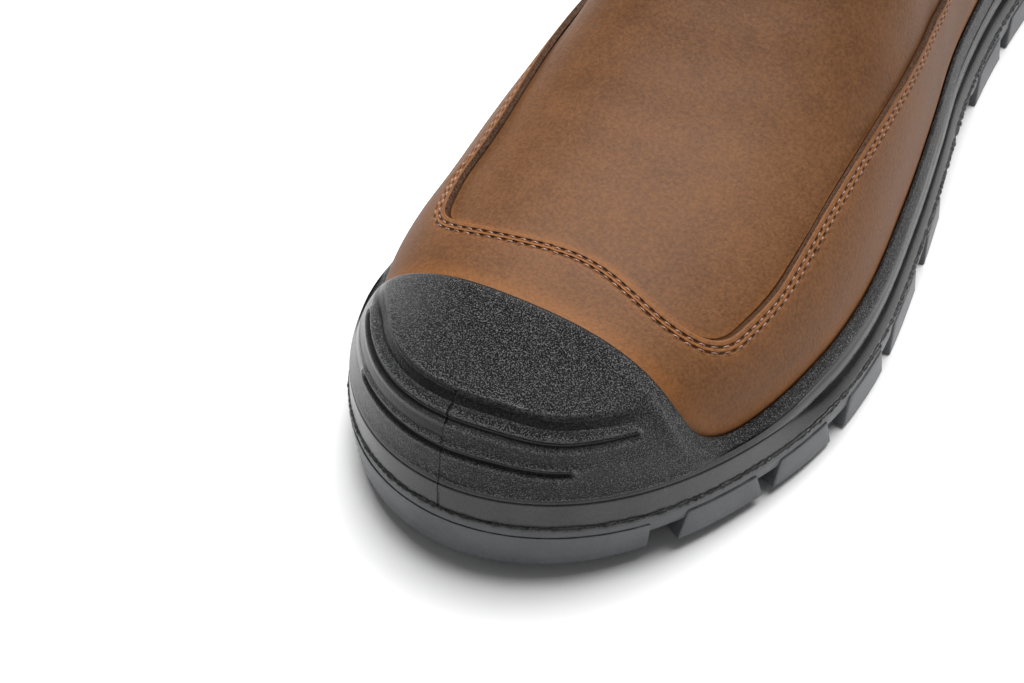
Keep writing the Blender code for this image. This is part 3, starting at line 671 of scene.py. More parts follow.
# Mudguard: a second layer of the same leather round the toe, sides and heel, cut raw along its edge.
# It lies over the vamp and is held by two rows of stitching close to the edge, which draw it down.
GUARD_INNER = 0.3
GUARD_OUTER = 1.8
STITCH_ROWS = (1.5, 2.75)
STITCH_MIDDLE = sum(STITCH_ROWS) / 2
STITCH_DIP = 0.3
STITCH_PITCH = 2.7
STITCH_DIP_HALF = 0.38
STITCH_PUFF = 0.08
STITCH_PUFF_HALF = 0.32
EDGE_ROUND = 0.25
EDGE_ROUND_WIDTH = 0.5
SEAM_STRIP = 7.0
SEAM_STEPS = 36
SEAM_CROWDING = 1.2
SEAM_LEAST_SQUARE = 0.35
GUARD_ROWS = 40
GUARD_INNER_ROWS = 24
CUT_HEIGHTS = (1.35, 1.05, 0.75)
CUT_RAVEL = 0.05
CUT_SEED = 4
FALL_STEPS = 160
SETTLE_STEPS = 5
FAR_AWAY = 30.0


def travel(points):
    """Distance along a line, or along each column of a grid, from its first point."""
    steps = np.linalg.norm(np.diff(points, axis=0), axis=-1)
    return np.concatenate([0 * steps[:1], np.cumsum(steps, 0)])


def placed(at, run, points):
    """Points of a line at some places, from the places and points that it is given by."""
    return np.stack([np.interp(at, run, points[:, axis]) for axis in range(3)], -1)


def guard_rows():
    """Levels of the mudguard's rows below its edge, close together near it."""
    share = np.linspace(0, 1, FALL_STEPS)[:, None]
    levels = GUARD_LEVEL * (1 - share)
    face = outside(on_upper(levels), np.full(levels.shape, GUARD_OUTER))
    fall = travel(face)
    run = np.roll(face[0], -1, 0) - np.roll(face[0], 1, 0)
    square = np.linalg.norm(np.cross(unit(face[2] - face[0]), unit(run)), axis=-1)
    strip = np.linspace(0, 1, SEAM_STEPS)[:, None] ** SEAM_CROWDING * SEAM_STRIP
    strip = strip / np.maximum(square, SEAM_LEAST_SQUARE)
    rest = np.linspace(0, 1, GUARD_ROWS)[1:, None]
    lengths = np.concatenate([strip, strip[-1] + rest * (fall[-1] - strip[-1])])
    rows = [np.interp(lengths[:, i], fall[:, i], levels[:, i]) for i in range(COLUMNS)]
    return np.stack(rows, 1)


def even_line(points, spacing):
    """Points round a closed line at an even spacing."""
    ends = np.concatenate([points, points[:1]])
    run = travel(ends)
    count = int(round(run[-1] / spacing))
    return placed(np.linspace(0, run[-1], count + 1), run, ends)[:-1]


def softened(values, reach):
    """Values round a closed line, each averaged with its neighbours."""
    return sum(np.roll(values, shift, 0) for shift in range(-reach, reach + 1)) / (2 * reach + 1)


def nearest_on(line, points):
    """Distance of each point from a line, and the number of the nearest place on the line."""
    tree = KDTree(len(line))
    for number, place in enumerate(line):
        tree.insert(place, number)
    tree.balance()
    found = [tree.find(point) for point in points.reshape(-1, 3)]
    distance = np.array([item[2] for item in found]).reshape(points.shape[:-1])
    number = np.array([item[1] for item in found]).reshape(points.shape[:-1])
    return distance, number


def settled(points):
    """Points moved on to the upper's outer face."""
    for _ in range(SETTLE_STEPS):
        steep = steepness(upper_gap, points)
        gap = upper_gap(*np.moveaxis(points, -1, 0))
        points = points - steep * (gap / (steep ** 2).sum(-1))[..., None]
    return points


EDGE_SPACING = 0.3
EDGE_STEP = 4
EDGE_SOFT = 5
EDGE_LINE = even_line(np.roll(on_upper(GUARD_LEVEL), -HEEL_COLUMN, 0), EDGE_SPACING)
EDGE_NORMAL = slope(upper_gap, EDGE_LINE)
EDGE_RUN = softened(np.roll(EDGE_LINE, -EDGE_STEP, 0) - np.roll(EDGE_LINE, EDGE_STEP, 0), EDGE_SOFT)
EDGE_IN = unit(np.cross(EDGE_NORMAL, EDGE_RUN))
EDGE_IN *= np.sign(-EDGE_IN[:, 2].mean())
SEAM_STITCHES = int(len(EDGE_LINE) * EDGE_SPACING / STITCH_PITCH)
GUARD_LEVELS = guard_rows()
GUARD_FACE = on_upper(GUARD_LEVELS)
GUARD_NORMAL = slope(upper_gap, GUARD_FACE)
FROM_EDGE, EDGE_NUMBER = nearest_on(EDGE_LINE, GUARD_FACE)


def guard_height(distance):
    """Height of the mudguard's face above the upper at a distance from its edge."""
    dip = sum(np.exp(-((distance - row) / STITCH_DIP_HALF) ** 2) for row in STITCH_ROWS)
    puff = np.exp(-((distance - STITCH_MIDDLE) / STITCH_PUFF_HALF) ** 2)
    edge = np.clip(1 - distance / EDGE_ROUND_WIDTH, 0, 1) ** 2
    return GUARD_OUTER - STITCH_DIP * dip + STITCH_PUFF * puff - EDGE_ROUND * edge


# Edge of the toe bumper and of the rim, which cover the mudguard's foot and change its tone beside them
BUMPER_FRONT = 33.3
BUMPER_SWEEP = 2.0
BUMPER_SWEEP_WIDTH = 40.0
BUMPER_SKEW = 0.025
BUMPER_CORNER = 18.0
RIM_HEIGHT = table(
    "along rim",
    (0, 23.5), (58, 23.5), (84, 23.5), (110, 23.5), (140, 24.2),
    (180, 26.0), (240, 28.8), (285, 30.5), (LENGTH, 30.5),
)
RIM_AT = curve(RIM_HEIGHT, "along", "rim")


def under_bumper(x, along, height):
    """True under the toe bumper and under the rim along the sides."""
    front = BUMPER_FRONT + BUMPER_SWEEP * (x / BUMPER_SWEEP_WIDTH) ** 2 - BUMPER_SKEW * x
    return smooth_min(along - front, height - RIM_AT(along), BUMPER_CORNER) < 0


RIM_LEVEL = wrap_level(under_bumper)
FROM_RIM, _ = nearest_on(even_line(on_upper(RIM_LEVEL), EDGE_SPACING), GUARD_FACE)


def guard_pull(place):
    """Leather drawn paler along the rim and between the rows of stitches."""
    rim = 1 - place.value("from_rim").step(1.0, 8.0)
    edge = place.value("from_edge")
    seam = 1 - edge.step(2.6, 5.0)
    off_middle = (edge - STITCH_MIDDLE).maths("ABSOLUTE")
    return 0.2 + rim * 0.45 + seam * 0.3 + (1 - off_middle.step(0.2, 0.6)) * 0.4


def guard_sewing(place):
    """Needle holes at both ends of each stitch, painted dark as shade and sunk by the bump, and the leather's
    pucker between them.
    """
    apart = (place.value("run").maths("FRACT") - 0.5).maths("ABSOLUTE")
    edge = place.value("from_edge")
    first, second = [(edge - row).maths("ABSOLUTE") for row in STITCH_ROWS]
    off_row = first.maths("MINIMUM", second)
    beside = 1 - off_row.step(0.14, 0.46)
    painted_shade = beside * (0.3 + apart.step(0.24, 0.38) * 0.55)
    pucker = (1 - off_row.step(0.4, 0.8)) * (1 - apart * 2.0)
    return painted_shade, pucker * 2.2 + painted_shade * HOLE_DEPTH


def build_mudguard():
    outer = GUARD_FACE + GUARD_NORMAL * guard_height(FROM_EDGE)[..., None]
    ravel = np.random.default_rng(CUT_SEED).normal(0, CUT_RAVEL, (1, COLUMNS, 1))
    cut = [GUARD_FACE[:1] + GUARD_NORMAL[:1] * (height + ravel) for height in CUT_HEIGHTS]
    inner_levels = np.linspace(1, 0, GUARD_INNER_ROWS)[:, None] * GUARD_LEVEL
    inner = outside(on_upper(inner_levels), np.full(inner_levels.shape, GUARD_INNER))
    points = np.concatenate([outer, *cut, inner])
    index = np.arange(len(points) * COLUMNS).reshape(-1, COLUMNS)
    outer_index = index[:len(outer)]
    cut_index = index[len(outer):len(outer) + len(cut)]
    inner_index = index[len(outer) + len(cut):]
    leather = np.concatenate([quads(outer_index), quads(np.stack([outer_index[-1], inner_index[-1]])),
                              quads(inner_index)])
    edge = quads(np.concatenate([outer_index[:1], cut_index, inner_index[:1]]))
    values = {name: np.full(points.shape[:2], FAR_AWAY) for name in ("from_edge", "from_rim")}
    values["run"] = np.zeros(points.shape[:2])
    values["from_edge"][:len(outer)] = FROM_EDGE
    values["from_edge"][len(outer):len(outer) + len(cut)] = 0
    values["from_rim"][:len(outer)] = FROM_RIM
    values["run"][:len(outer)] = EDGE_NUMBER * SEAM_STITCHES / len(EDGE_LINE)
    finishes = [leather_finish("mudguard_leather", guard_pull, guard_sewing), LEATHER_EDGE]
    new_piece("mudguard_wrap", points.reshape(-1, 3), [leather, edge], finishes, "mudguard",
              values, sharp=0.9)


build_mudguard()

# Seam stitches: two rows of waxed polyester thread hold the mudguard's edge down on the vamp.
# Each stitch is a short bow of thread that goes down into a hole at both its ends.
THREAD_LENGTH = 1.9
THREAD_RADIUS = 0.27
THREAD_RISE = 0.4
THREAD_DIVE = 0.55
THREAD_RUN = 0.4
THREAD_SOFT = 3


def thread_finish(name, dark, light):
    """Twisted thread, lighter where it is rubbed."""
    material, place = new_finish(name, Specular_IOR_Level=0.5)
    ply = place.noise(0.45, 2.0)
    colour = (ply * 0.7 + place.noise(6, 2.0) * 0.4).step(0.3, 0.75).between(dark, light)
    dress(material, ply, 0.0001, 0.6, Base_Color=colour, Roughness=0.2 + ply * 0.2)
    return material


TAN_THREAD = thread_finish("tan_thread", (0.10, 0.045, 0.026, 1), (0.30, 0.155, 0.10, 1))
DARK_THREAD = thread_finish("dark_thread", (0.018, 0.014, 0.012, 1), (0.07, 0.055, 0.045, 1))


def new_tree(label, numbers):
    """Geometry tree with named inputs, the sockets they give, and a function that adds its nodes."""
    tree = bpy.data.node_groups.new(label, "GeometryNodeTree")
    tree.is_modifier = True
    tree.interface.new_socket("Geometry", in_out="INPUT", socket_type="NodeSocketGeometry")
    for name in numbers:
        tree.interface.new_socket(name, in_out="INPUT", socket_type="NodeSocketFloat")
    tree.interface.new_socket("Finish", in_out="INPUT", socket_type="NodeSocketMaterial")
    tree.interface.new_socket("Geometry", in_out="OUTPUT", socket_type="NodeSocketGeometry")

    def node(kind, sockets, out=0, **settings):
        return add_node(tree, kind, sockets, out, settings)

    return tree, tree.nodes.new("NodeGroupInput").outputs, node


def end_tree(tree, given, node, shape):
    """Close a tree: real geometry, smooth, in the finish given."""
    real = node("GeometryNodeRealizeInstances", {"Geometry": shape})
    smooth = node("GeometryNodeSetShadeSmooth", {"Geometry": real, "Shade Smooth": True})
    done = node("GeometryNodeSetMaterial", {"Geometry": smooth, "Material": given["Finish"]})
    tree.links.new(done, tree.nodes.new("NodeGroupOutput").inputs[0])
    return tree


def stitch_tree():
    """Bow of thread set on every point, along its run and out from the surface."""
    tree, given, node = new_tree("thread_bows", ("Length", "Radius", "Rise", "Dive"))

    def corner(length, height):
        return node("ShaderNodeCombineXYZ", {"X": length, "Z": height})

    def times(value, factor):
        return node("ShaderNodeMath", {0: value, 1: factor}, operation="MULTIPLY")

    sunk = times(given["Dive"], -1.0)
    bow = node("GeometryNodeCurveQuadraticBezier", {
        "Resolution": 6,
        "Start": corner(times(given["Length"], -0.5), sunk),
        "Middle": corner(0.0, times(given["Rise"], 2.0)),
        "End": corner(times(given["Length"], 0.5), sunk),
    })
    ring = node("GeometryNodeCurvePrimitiveCircle", {"Resolution": 6, "Radius": given["Radius"]})
    thread = node("GeometryNodeCurveToMesh", {"Curve": bow, "Profile Curve": ring, "Fill Caps": True})
    run = node("GeometryNodeInputNamedAttribute", {"Name": "run"}, data_type="FLOAT_VECTOR")
    out = node("GeometryNodeInputNamedAttribute", {"Name": "out"}, data_type="FLOAT_VECTOR")
    turn = node("FunctionNodeAxesToRotation", {"Primary Axis": out, "Secondary Axis": run},
                primary_axis="Z", secondary_axis="X")
    sockets = {"Points": given["Geometry"], "Instance": thread, "Rotation": turn}
    return end_tree(tree, given, node, node("GeometryNodeInstanceOnPoints", sockets))


THREAD_BOWS = stitch_tree()


def grown(name, source, tree, sizes):
    """Plain mesh on the root body, grown from a source mesh by a tree whose inputs are given by name."""
    seed = new_object(name + "_seed", source)
    modifier = seed.modifiers.new(name, "NODES")
    modifier.node_group = tree
    for item in tree.interface.items_tree:
        if item.in_out == "INPUT" and item.name in sizes:
            modifier[item.identifier] = sizes[item.name]
    result = seed.evaluated_get(bpy.context.evaluated_depsgraph_get())
    mesh = bpy.data.meshes.new_from_object(result)
    bpy.data.objects.remove(seed)
    mesh.name = name
    thing = new_object(name, mesh)
    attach(thing, "root")


def stitch_places(line, normals, pitch):
    """Places, runs and outward directions of stitches at a pitch along a line."""
    run = travel(line)
    count = max(int(round(run[-1] / pitch)), 1)
    places = (np.arange(count) + 0.5) * run[-1] / count
    step = THREAD_RUN * pitch
    ahead = placed(np.minimum(places + step, run[-1]), run, line)
    behind = placed(np.maximum(places - step, 0), run, line)
    return placed(places, run, line), ahead - behind, placed(places, run, normals)


def sew(name, rows, thread):
    """Stitches of one thread at some places, made one mesh."""
    places, runs, outs = (np.concatenate(part) for part in zip(*rows))
    mesh = bpy.data.meshes.new(name + "_places")
    mesh.from_pydata(metres(places), [], [])
    for label, vectors in (("run", runs), ("out", outs)):
        mesh.attributes.new(label, "FLOAT_VECTOR", "POINT").data.foreach_set("vector", np.ravel(vectors))
    sizes = {"Length": THREAD_LENGTH, "Radius": THREAD_RADIUS, "Rise": THREAD_RISE, "Dive": THREAD_DIVE}
    sizes = {label: size * MM for label, size in sizes.items()}
    grown(name, mesh, THREAD_BOWS, {**sizes, "Finish": thread})


def seam_row(distance):
    """Stitch places on one row of the mudguard's seam, in step with the first row."""
    line = settled(EDGE_LINE + EDGE_IN * distance)
    normals = slope(upper_gap, line)
    line = softened(line + normals * guard_height(distance), THREAD_SOFT)
    run = np.roll(line, -THREAD_SOFT, 0) - np.roll(line, THREAD_SOFT, 0)
    at = ((np.arange(SEAM_STITCHES) + 0.5) * len(line) / SEAM_STITCHES).astype(int)
    return line[at], run[at], normals[at]


sew("seam_stitches", [seam_row(distance) for distance in STITCH_ROWS], TAN_THREAD)

# Elastic gores: ribbed woven elastic set into the cut-outs in both sides of the shaft.
# Two close rows of dark thread along the leather's edges hold each panel.
GORE_CLEARANCE = 0.35
GORE_OUTER = -0.1
GORE_INNER = -1.8
GORE_RIB_PITCH = 1.9
GORE_RIB_DEPTH = 0.3
GORE_FINER = 6
GORE_STITCH_ROWS = (2.0, 4.2)
GORE_STITCH_DROP = 3


def elastic_finish():
    """Rubber-cored elastic with a dark brown woven face, painted darker as shade in the troughs between its
    ribs.
    """
    material, place = new_finish("ribbed_elastic", Specular_IOR_Level=0.25, Sheen_Weight=0.3)
    rib = place.value("rib")
    weave = place.cells(0.6, distance="MANHATTAN")
    # Painted shade: the rib value makes the troughs between the ribs darker
    shade = rib * 0.6 + weave * 0.5
    colour = shade.step(0.15, 1.0).between((0.006, 0.005, 0.005, 1), (0.045, 0.036, 0.03, 1))
    dress(material, weave, 0.0002, 0.8, Base_Color=colour, Roughness=0.8 + weave * 0.15)
    return material


RIBBED_ELASTIC = elastic_finish()


def finer(points, times):
    """Rows of points with more columns between them."""
    count = points.shape[1]
    at = np.linspace(0, count - 1, (count - 1) * times + 1)
    low = np.minimum(at.astype(int), count - 2)
    share = (at - low)[None, :, None]
    return points[:, low] * (1 - share) + points[:, low + 1] * share


def sheet_faces(points):
    """Faces of a sheet between two grids of points, closed round its edges."""
    index = np.arange(points.size // 3).reshape(points.shape[:3])
    faces = [quads(grid, closed=False) for grid in index]
    faces += [quads(index[:, row], closed=False) for row in (0, -1)]
    faces += [quads(index[:, :, column], closed=False) for column in (0, -1)]
    return np.concatenate(faces)


def build_gore(node, columns):
    face = OUTER_FACE[GORE_ROW:][:, columns]
    normal = OUTER_NORMAL[GORE_ROW:][:, columns]

    def drawn_in(points):
        moved = points.copy()
        for place, beside in ((0, 1), (-1, -2)):
            moved[:, place] += GORE_CLEARANCE * unit(points[:, beside] - points[:, place])
        moved[0] += GORE_CLEARANCE * unit(points[1] - points[0])
        return finer(moved, GORE_FINER)

    outer = drawn_in(face + normal * GORE_OUTER)
    inner = drawn_in(face + normal * GORE_INNER)
    ribs = max(int(round(travel(outer[-1])[-1] / GORE_RIB_PITCH)), 1)
    rib = 0.5 - 0.5 * np.cos(np.linspace(0, 2 * np.pi * ribs, outer.shape[1]))
    sink = unit(inner - outer) * (1 - rib)[None, :, None] * GORE_RIB_DEPTH
    points = np.stack([outer + sink, inner - sink])
    values = {"rib": np.tile(rib, (2, points.shape[1], 1))}
    new_piece(node + "_panel", points.reshape(-1, 3), [sheet_faces(points)], [RIBBED_ELASTIC],
              node, values)


build_gore("gore_medial", MEDIAL_GORE)
build_gore("gore_lateral", LATERAL_GORE)


def gore_stitches():
    """Places of the stitches that follow both edges and the foot of each cut-out."""
    rows = []
    for gore in (MEDIAL_GORE, LATERAL_GORE):
        for distance in GORE_STITCH_ROWS:
            sides = []
            for first, step in ((gore[0], -1), (gore[-1], 1)):
                edge = OUTER_FACE[GORE_ROW:, first]
                away = unit(OUTER_FACE[GORE_ROW:, (first + step) % COLUMNS] - edge)
                sides.append((edge + away * distance, OUTER_NORMAL[GORE_ROW:, first]))
            foot = OUTER_FACE[GORE_ROW, gore]
            down = unit(OUTER_FACE[GORE_ROW - GORE_STITCH_DROP, gore] - foot)
            line = np.concatenate([sides[0][0][::-1], (foot + down * distance)[1:-1], sides[1][0]])
            outs = np.concatenate([sides[0][1][::-1], OUTER_NORMAL[GORE_ROW, gore][1:-1], sides[1][1]])
            rows.append(stitch_places(line, outs, STITCH_PITCH))
    return rows


sew("gore_stitches", gore_stitches(), DARK_THREAD)

# Collar stitches: one row of tan thread below the rolled collar, where the lining is sewn to the leather.
# They run across the front and the back of the shaft, from gore to gore.
COLLAR_STITCH_ROW = -4


def collar_stitches():
    """Places of the stitches in front of and behind the gores."""
    rows = []
    gaps = ((LATERAL_GORE[-1], MEDIAL_GORE[0]), (MEDIAL_GORE[-1], LATERAL_GORE[0]))
    for start, end in gaps:
        columns = [i % COLUMNS for i in range(start, end + 1 if end > start else end + COLUMNS + 1)]
        line, outs = (grid[COLLAR_STITCH_ROW, columns] for grid in (OUTER_FACE, OUTER_NORMAL))
        rows.append(stitch_places(line, outs, STITCH_PITCH))
    return rows


sew("collar_stitches", collar_stitches(), TAN_THREAD)

# Pull loop: one length of dark woven webbing, folded over the back of the collar.
# Its two ends are sewn to the outside and the inside of the shaft.
LOOP_GAP = 0.3
LOOP_WIDTH = 22.0
LOOP_THICKNESS = 1.6
LOOP_FOOT = 128.0
LOOP_BEND = 170.0
LOOP_SPREAD = 12.0
LOOP_RISE = 20.0
LOOP_LINING = 0.2
LOOP_STEPS = 40
LOOP_LEG_STEPS = 24
LOOP_ACROSS = 25
LOOP_EDGE = 0.22
LOOP_EDGE_WIDTH = 2.0
LOOP_BOX_ROWS = (2, 14)
LOOP_BOX_INSET = 2
LOOP_STITCH_PITCH = 2.2
LOOP_STITCH_OUT = (0.0, 1.0, 0.2)
SHAFT_SEARCH = 40.0


def webbing_finish():
    """Dark woven tape with a twill across it."""
    material, place = new_finish("woven_webbing", Specular_IOR_Level=0.3, Sheen_Weight=0.2)
    across = place.value("across")
    along = place.value("along")
    twill = ((along + across * 1.3) * 4.2).maths("SINE")
    yarn = (across * 9.0).maths("SINE")
    thread = twill * 0.5 + yarn * 0.35 + place.noise(0.4, 2.0) * 0.5
    colour = thread.step(-0.4, 0.9).between((0.008, 0.007, 0.006, 1), (0.05, 0.042, 0.036, 1))
    dress(material, thread, 0.00022, 0.8, Base_Color=colour, Roughness=0.72 + place.noise(0.8, 2.0) * 0.15)
    return material


def back_face(x, height, distance):
    """Place along the boot of the back of the shaft, moved out by a distance."""
    start = SHAFT_AT["front"](height) + SHAFT_SEARCH
    return last_inside(start, 0 * start + LENGTH, lambda along: upper_gap(x, along, height) < 0) + distance


def loop_path(x):
    """Middle line of the webbing: up the outside, over and down the inside of the shaft."""
    clear = LOOP_GAP + LOOP_THICKNESS / 2
    up = np.linspace(LOOP_FOOT, LOOP_BEND, LOOP_LEG_STEPS)
    outside_leg = np.column_stack([back_face(x, up, clear), up])
    inside_leg = np.column_stack([back_face(x, up, -WALL - LOOP_LINING - clear), up])[::-1]
    start = outside_leg[-1, 0]
    end = inside_leg[0, 0]
    turn = np.pi * np.arange(1, LOOP_STEPS) / LOOP_STEPS
    reach = (start - end) / 2 + LOOP_SPREAD * np.sin(turn)
    bow = np.column_stack([(start + end) / 2 + reach * np.cos(turn), LOOP_BEND + LOOP_RISE * np.sin(turn)])
    return np.concatenate([outside_leg, bow, inside_leg])


def build_loop():
    sheets = ([], [])
    lengths = []
    places = np.linspace(-LOOP_WIDTH / 2, LOOP_WIDTH / 2, LOOP_ACROSS)
    for x in places:
        path = loop_path(x)
        run = unit(np.gradient(path, axis=0))
        side = np.stack([run[:, 1], -run[:, 0]], -1)
        edge = LOOP_EDGE * ease(abs(x), LOOP_WIDTH / 2 - LOOP_EDGE_WIDTH, LOOP_WIDTH / 2)
        for sheet, sign in zip(sheets, (0.5, -0.5)):
            line = path + side * sign * (LOOP_THICKNESS - edge)
            sheet.append(np.column_stack([np.full(len(line), x), line]))
        lengths.append(travel(path))
    points = np.array(sheets)
    across = np.tile(places[None, :, None], (2, 1, points.shape[2]))
    along = np.tile(np.array(lengths)[None], (2, 1, 1))
    new_piece("pull_loop_webbing", points.reshape(-1, 3), [sheet_faces(points)], [webbing_finish()],
              "pull_loop", {"across": across, "along": along})
    low, high = LOOP_BOX_ROWS
    box = [points[0, LOOP_BOX_INSET:-LOOP_BOX_INSET, row] for row in LOOP_BOX_ROWS]
    box += [points[0, column, low:high + 1] for column in (LOOP_BOX_INSET, -LOOP_BOX_INSET - 1)]
    rows = [stitch_places(line, np.tile(LOOP_STITCH_OUT, (len(line), 1)), LOOP_STITCH_PITCH) for line in box]
    sew("loop_stitches", rows, DARK_THREAD)


build_loop()

# Insole: a loose foam footbed under a brushed cloth cover, cut to the inside of the upper.
# It is cupped at the heel and has small air holes punched under the forefoot.
INSOLE_CLEARANCE = 0.4
INSOLE_ACROSS = 24
INSOLE_CUP = 1.6
INSOLE_CUP_LEAST = 0.35
INSOLE_CUP_RISE = (170, 240)
INSOLE_LEVELS = (0.0, 0.5, 1.0)
INSOLE_WELD = 0.00001
AIR_HOLE_PITCH = 7.0
AIR_HOLES_START = (30, 40)
AIR_HOLES_END = (110, 120)


def footbed_finish():
    """Brushed black cloth over foam, with punched holes painted near black as shade."""
    material, place = new_finish("brushed_cover", Specular_IOR_Level=0.2, Sheen_Weight=0.35)
    nap = place.noise(0.7, 3.0)
    pile = place.noise(16, 3.0)
    sockets = {"Vector": place, "Scale": 1000 / AIR_HOLE_PITCH, "Randomness": 0.0}
    shaded_holes = 1 - place.node("ShaderNodeTexVoronoi", sockets, voronoi_dimensions="2D").step(0.09, 0.14)
    shaded_holes = shaded_holes * place.value("forefoot")
    colour = (nap * 0.6 + pile * 0.5).step(0.3, 0.8).between((0.02, 0.02, 0.021, 1), (0.065, 0.064, 0.066, 1))
    # Painted shade: the air holes are coloured near black
    colour = shaded_holes.between(colour, (0.004, 0.004, 0.004, 1))
    dress(material, nap * 0.5 - shaded_holes * 2.0, 0.0003, 0.8, Base_Color=colour, Roughness=0.9 + nap * 0.08)
    return material


def across_rungs(line):
    """Rungs of points from each column of a row to its partner across the boot."""
    share = np.linspace(0, 1, INSOLE_ACROSS)[None, :, None]
    return line[MEDIAL_HALF][:, None] * (1 - share) + line[LATERAL_HALF][:, None] * share, share


def build_insole():
    set_in = np.full(COLUMNS, -WALL - INSOLE_CLEARANCE)
    side = np.array([outside(on_upper(np.full(COLUMNS, level)), set_in) for level in INSOLE_LEVELS])
    top, share = across_rungs(side[-1])
    hollow = (1 - (2 * share - 1) ** 4)[..., 0]
    cup = INSOLE_CUP_LEAST + (1 - INSOLE_CUP_LEAST) * ease(top[..., 1], *INSOLE_CUP_RISE)
    top[..., 2] -= INSOLE_CUP * cup * hollow
    bottom, _ = across_rungs(side[0])
    points = np.concatenate([side.reshape(-1, 3), top.reshape(-1, 3), bottom.reshape(-1, 3)])
    side_index = np.arange(side.size // 3).reshape(side.shape[:2])
    top_index = side.size // 3 + np.arange(top.size // 3).reshape(top.shape[:2])
    faces = [quads(side_index)]
    faces += [quads(grid, closed=False) for grid in (top_index, top_index + top.size // 3)]
    forefoot = (1 - ease(points[:, 1], *AIR_HOLES_END)) * ease(points[:, 1], *AIR_HOLES_START)
    insole = new_piece("insole_footbed", points, [np.concatenate(faces)], [footbed_finish()],
                       "insole", {"forefoot": forefoot})
    work = bmesh.new()
    work.from_mesh(insole.data)
    bmesh.ops.remove_doubles(work, verts=work.verts, dist=INSOLE_WELD)
    bmesh.ops.recalc_face_normals(work, faces=work.faces)
    work.to_mesh(insole.data)
    work.free()


build_insole()

# Midsole: one black rubber moulding, cast straight on to the upper, that makes the side band, the rim
# over the leather and the toe bumper. Below its grained top, a flute and two long grooves run round it.
SIDE_STEPS = table(
    "toe_inset toe_rise side_inset side_rise",
    (0.35, 0.0, 0.35, 0.0),
    (0.05, 0.4, 0.05, 0.4),
    (0.05, 1.5, 0.3, 1.2),
    (0.1, 3.0, 0.75, 2.1),
    (0.15, 4.5, 1.25, 3.0),
    (0.2, 5.8, 1.8, 3.6),
    (0.25, 6.6, 2.3, 3.9),
    (0.3, 7.0, 2.6, 4.0),
    (0.6, 7.15, 2.55, 4.2),
    (0.6, 7.3, 2.25, 4.45),
    (0.4, 7.45, 2.1, 4.9),
    (0.46, 7.65, 2.02, 5.5),
    (0.56, 7.9, 2.02, 6.1),
    (0.66, 8.1, 2.05, 6.8),
    (0.78, 8.35, 2.15, 7.5),
    (0.9, 8.6, 2.32, 8.2),
    (1.0, 8.8, 2.65, 8.8),
)
# Lines round the bumper, a crest and then two grooves: their heights, and how far back their ends lie
GROOVES = table(
    "rise medial lateral",
    (27.3, 24.1, 20.2),
    (22.5, 26.0, 22.6),
    (16.9, 13.8, 10.6),
)
GROOVE_HALF = 1.0
GROOVE_DEPTH = 0.7
GROOVE_LIP = 1.45
GROOVE_FALL = 1.4
GROOVE_FALL_SPAN = (6.0, 22.0)
LIP_HALF = 0.5
LIP_HEIGHTS = (1.2, 0.7)
# Painted highlight along the upper and lower lip of each groove
LIP_HIGHLIGHT = (1.0, 0.5)
CREST_HALF = 0.6
CREST_HEIGHT = 0.35
FLUTE_DEPTH = 1.2
FLUTE_TOP = (0.0, 0.25)
FLUTE_FOOT = (0.7, 1.0)
FLUTE_LATERAL_END = (17, 26)
FLUTE_MEDIAL_END = (24, 33)
RIDGE_FROM_RIM = 3.2
RIDGE_HALF = 1.6
RIDGE_HEIGHT = 1.2
RIDGE_ACROSS = (16, 32)
# Painted highlight along the ridge
RIDGE_HIGHLIGHT = 0.3
GRAIN_DOME = (-0.9, -0.2)
GRAIN_ZONE = (-1.8, -0.8)
GRAIN_ZONE_SIDE = (27, 38)
GRAIN_ZONE_SHARE = 0.06
GRAIN_PLAIN = 0.5
GRAIN_CREST = 0.9
GRAIN_CREST_RISE = 1.4
GRAIN_CREST_HALF = 0.6
GRAIN_HOLLOW = 0.8
GRAIN_MEDIAL = 0.45
GRAIN_MEDIAL_SIDE = (-42, -12)
GRAIN_SIDE = 0.6
GRAIN_SIDE_START = (0.1, 0.4)
GRAIN_RIM = 0.7
GRAIN_RIM_START = (0.93, 1.0)
SPARKLE_HIGH = 0.06
SPARKLE_LOW = 0.2
BAND_END = 75.0
BAND_FADE = 30.0
# Painted highlight on the toe band
BAND_HIGHLIGHT = 0.3
BAND_GRAINED = 3
BAND_STEP = 0.8
BEAD_STEP = 0.6
BEAD_CROWN = 0.3
RIM_EDGE = 1.1
RIM_LEAST = 0.15
BUMPER_EDGE = 2.1
BUMPER_INNER = 2.1
BUMPER_INNER_ROWS = 16
BUMPER_SINK = 0.3
COVER_RISE = 20.0
COVER_ROWS = 130
ROLL_STEPS = 8
ROLL_ROUND = 0.7
PARTING_AT = -1.5
PARTING_END = 40.0


def sole_gap(x, along):
    """Below 0 inside the sole's outline."""
    across = np.abs(x) - rounded_half(x, along, "sole", 0.0, LENGTH)
    return np.maximum(across, np.maximum(-along, along - LENGTH))


SOLE_EDGE = np.stack(cast(0.0, lambda x, along: sole_gap(x, along) < 0), -1)
SOLE_OUT = slope(sole_gap, SOLE_EDGE)


def sole_row(inset, height):
    """Row round the sole's outline, set in by a distance that may differ from column to column."""
    plan = SOLE_EDGE - SOLE_OUT * np.reshape(inset, (-1, 1))
    return np.column_stack([plan, height(SOLE_EDGE[:, 1])])


def groove_fall(x):
    """Height by which the bumper's grooves fall towards the lateral side."""
    return GROOVE_FALL * ease(x, *GROOVE_FALL_SPAN)


def rise_level(rise, fall=0.0):
    """Level of each column at a height above the joint, which may fall with the grooves."""
    return wrap_level(lambda x, along, height: height < joint(along) + rise - fall * groove_fall(x))


